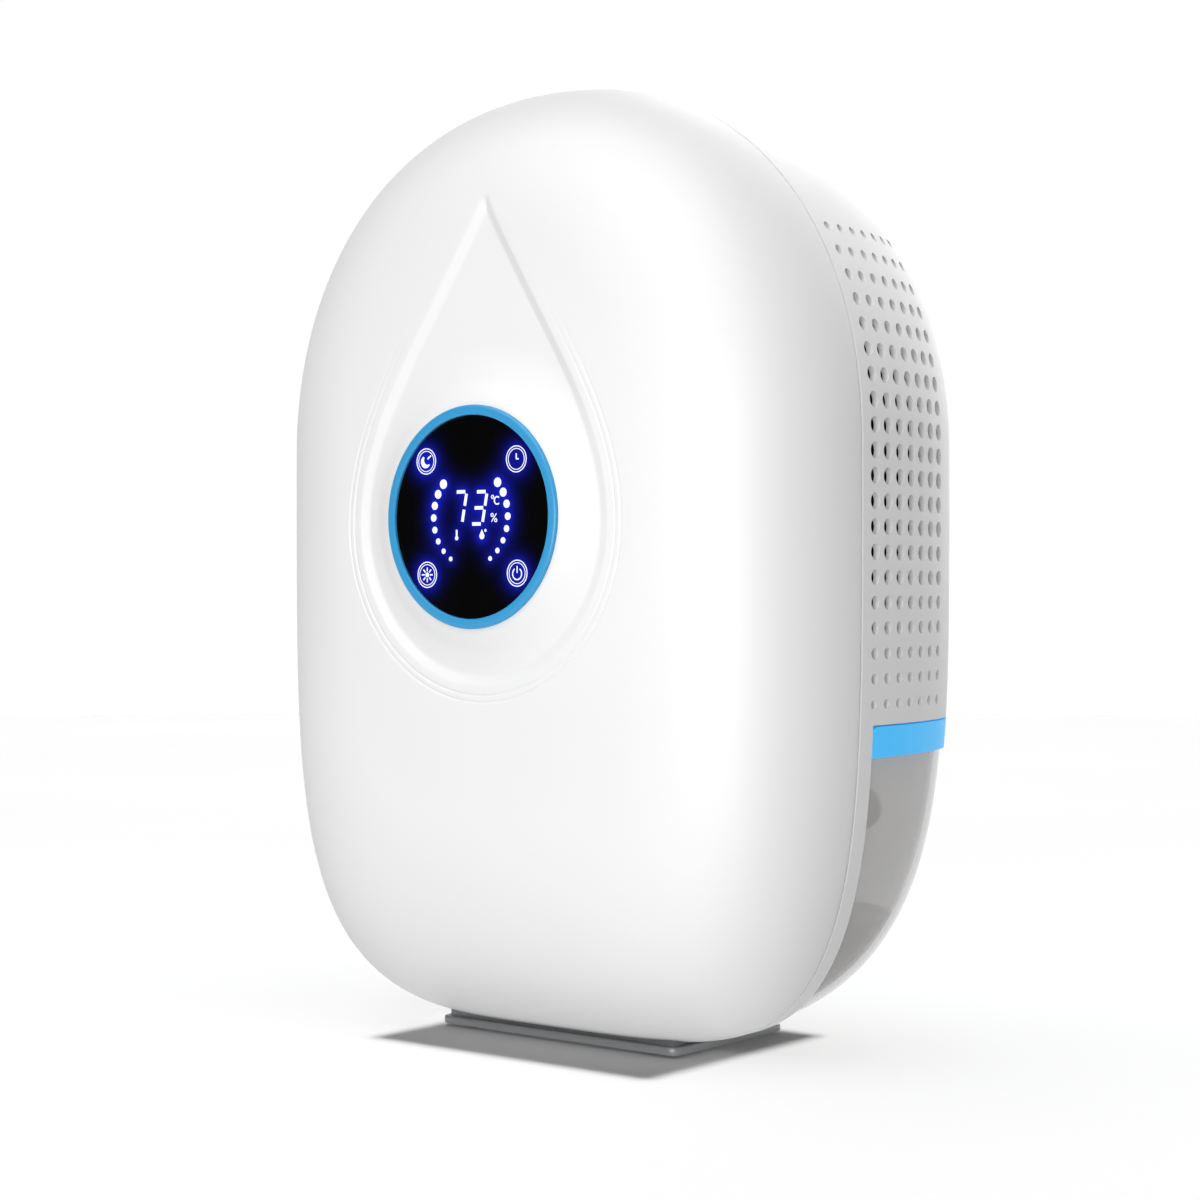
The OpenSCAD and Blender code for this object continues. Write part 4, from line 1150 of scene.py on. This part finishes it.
def make_surroundings(strength):
    """The pale surroundings: white behind the object, lighter underneath, and greyer everywhere else."""
    world = bpy.data.worlds.new("pale studio")
    world.use_nodes = True
    bpy.context.scene.world = world
    tree = world.node_tree
    tree.nodes.clear()
    place = add_node(tree, "ShaderNodeTexCoord").outputs["Generated"]
    toward = add_node(tree, "ShaderNodeVectorMath", {0: place, 1: BRIGHT_SIDE}, operation="DOT_PRODUCT")
    level = add_node(tree, "ShaderNodeMapRange", {
        "Value": toward.outputs["Value"], "From Min": 0.55, "From Max": 0.9, "To Min": 0.1, "To Max": 1.02},
        interpolation_type="SMOOTHSTEP")
    below = add_node(tree, "ShaderNodeMapRange", {
        "Value": add_node(tree, "ShaderNodeSeparateXYZ", {0: place}).outputs["Z"],
        "From Min": -0.1, "From Max": -0.7, "To Min": 0.0, "To Max": 0.62}, interpolation_type="SMOOTHSTEP")
    total = add_node(tree, "ShaderNodeMath", {0: level.outputs["Result"], 1: below.outputs["Result"]},
                     operation="ADD")
    back = add_node(tree, "ShaderNodeBackground", {"Strength": strength, "Color": total.outputs["Value"]})
    add_node(tree, "ShaderNodeOutputWorld", {"Surface": back.outputs["Background"]})


def make_lights(settings, floor):
    """Soft lights for the object, and one more that only the floor gets."""
    add_light("key", (0.9, -1.3, 0.15), (0.02, -0.05, 0.2), 0.5, settings.key_power)
    add_light("low_front", (0.3, -1.0, 0.02), (0, 0, 0.1), 0.5, settings.low_power)
    add_sun("overhead", -30, 70, settings.overhead)
    add_sun("back_top", 60, 60, settings.back_top)
    # These four lights reach the object only.
    lit = bpy.data.collections.new("object_only")
    for thing in bpy.data.objects:
        if thing.type == "MESH" and thing is not floor:
            lit.objects.link(thing)
    for lamp in [thing for thing in bpy.context.scene.objects if thing.type == "LIGHT"]:
        lamp.light_linking.receiver_collection = lit
    # The floor's light meets the base plate and a card under the body that nothing else sees: they
    # alone set the size of the shadow.
    card = new_object("shadow_card", box_shape(*SHADOW_CARD))
    card.data.materials.append(floor.data.materials[0])
    card.visible_camera = card.visible_diffuse = card.visible_glossy = card.visible_transmission = False
    above = add_sun("floor_light", 0, 80, settings.floor_light)
    plate = bpy.data.objects["base_plate_lacquered"]
    for name, things in (("receiver", [floor]), ("blocker", [card, plate])):
        group = bpy.data.collections.new("floor_light_" + name)
        for thing in things:
            group.objects.link(thing)
        setattr(above.light_linking, name + "_collection", group)


def make_camera(focal_length):
    """The camera, level and a little turned, in front of the object's right side."""
    scene = bpy.context.scene
    lens = bpy.data.cameras.new("camera")
    lens.lens = focal_length
    lens.sensor_width = 36
    lens.shift_y = CAMERA_SHIFT
    lens.clip_start = 0.01
    camera = bpy.data.objects.new("camera", lens)
    camera.location = CAMERA_AT
    camera.rotation_euler = (math.pi / 2, 0, CAMERA_TURN)
    scene.collection.objects.link(camera)
    scene.camera = camera
    scene.view_settings.view_transform = "Standard"


def make_stage(settings):
    """A plain white floor, pale surroundings, soft light and the camera."""
    floor = make_floor()
    make_surroundings(settings.ambient)
    make_lights(settings, floor)
    make_camera(settings.lens)


# ---- operators -----------------------------------------------------------------------------------

kept = {}


def finishes_of(scene):
    """The finishes, made once."""
    if not kept:
        kept.update(make_finishes(scene.dehumidifier_finish))
    return kept


class DEHUMIDIFIER_OT_shells(bpy.types.Operator):
    """Makes the front cover with its teardrop, and the drilled rear shell"""
    bl_idname = "dehumidifier.shells"
    bl_label = "Shells"

    def execute(self, context):
        finishes = finishes_of(context.scene)
        make_front_cover(finishes, context.scene.dehumidifier_shape)
        make_rear_shell(finishes)
        return {"FINISHED"}


class DEHUMIDIFIER_OT_display(bpy.types.Operator):
    """Makes the blue ring, the black window and its lit signs"""
    bl_idname = "dehumidifier.display"
    bl_label = "Display"

    def execute(self, context):
        finishes = finishes_of(context.scene)
        make_display_ring(finishes)
        make_display(finishes, context.scene.dehumidifier_finish, context.scene.dehumidifier_shape)
        return {"FINISHED"}


class DEHUMIDIFIER_OT_tank(bpy.types.Operator):
    """Makes the clear tank, its blue band and the water in it"""
    bl_idname = "dehumidifier.tank"
    bl_label = "Tank"

    def execute(self, context):
        finishes = finishes_of(context.scene)
        make_water_tank(finishes)
        make_collected_water(context.scene.dehumidifier_shape)
        make_tank_band(finishes)
        return {"FINISHED"}


class DEHUMIDIFIER_OT_base(bpy.types.Operator):
    """Makes the lacquered base plate"""
    bl_idname = "dehumidifier.base"
    bl_label = "Base plate"

    def execute(self, context):
        make_base_plate(finishes_of(context.scene))
        return {"FINISHED"}


class DEHUMIDIFIER_OT_air(bpy.types.Operator):
    """Makes the outlet grille and the fan rotor"""
    bl_idname = "dehumidifier.air"
    bl_label = "Grille and fan"

    def execute(self, context):
        finishes = finishes_of(context.scene)
        make_outlet_grille(finishes)
        make_fan_rotor(finishes)
        return {"FINISHED"}


class DEHUMIDIFIER_OT_inner(bpy.types.Operator):
    """Gives the carried-over inner pieces their finishes"""
    bl_idname = "dehumidifier.inner"
    bl_label = "Inner pieces"

    def execute(self, context):
        dress_cad_nodes(finishes_of(context.scene), frame["record"])
        return {"FINISHED"}


class DEHUMIDIFIER_OT_stage(bpy.types.Operator):
    """Makes the floor, the lights and the camera"""
    bl_idname = "dehumidifier.stage"
    bl_label = "Stage"

    def execute(self, context):
        make_stage(context.scene.dehumidifier_stage)
        return {"FINISHED"}


OPERATORS = (DEHUMIDIFIER_OT_shells, DEHUMIDIFIER_OT_display, DEHUMIDIFIER_OT_tank, DEHUMIDIFIER_OT_base,
             DEHUMIDIFIER_OT_air, DEHUMIDIFIER_OT_inner, DEHUMIDIFIER_OT_stage)
SETTINGS = {"dehumidifier_finish": FinishSettings, "dehumidifier_shape": ShapeSettings,
            "dehumidifier_stage": StageSettings}


class DEHUMIDIFIER_PT_build(bpy.types.Panel):
    """Lists the settings and the steps of the build"""
    bl_idname = "DEHUMIDIFIER_PT_build"
    bl_label = "Oval dehumidifier"
    bl_space_type = "VIEW_3D"
    bl_region_type = "UI"
    bl_category = "Dehumidifier"

    def draw(self, context):
        for name, group in SETTINGS.items():
            settings = getattr(context.scene, name)
            for field in group.__annotations__:
                self.layout.prop(settings, field)
        for operator in OPERATORS:
            self.layout.operator(operator.bl_idname)


CLASSES = (*SETTINGS.values(), *OPERATORS, DEHUMIDIFIER_PT_build)


def register():
    for item in CLASSES:
        bpy.utils.register_class(item)
    for name, group in SETTINGS.items():
        setattr(bpy.types.Scene, name, PointerProperty(type=group))


def unregister():
    for name in SETTINGS:
        delattr(bpy.types.Scene, name)
    for item in reversed(CLASSES):
        bpy.utils.unregister_class(item)


def main():
    register()
    for operator in OPERATORS:
        group, name = operator.bl_idname.split(".")
        getattr(getattr(bpy.ops, group), name)()


if __name__ == "__main__":
    main()
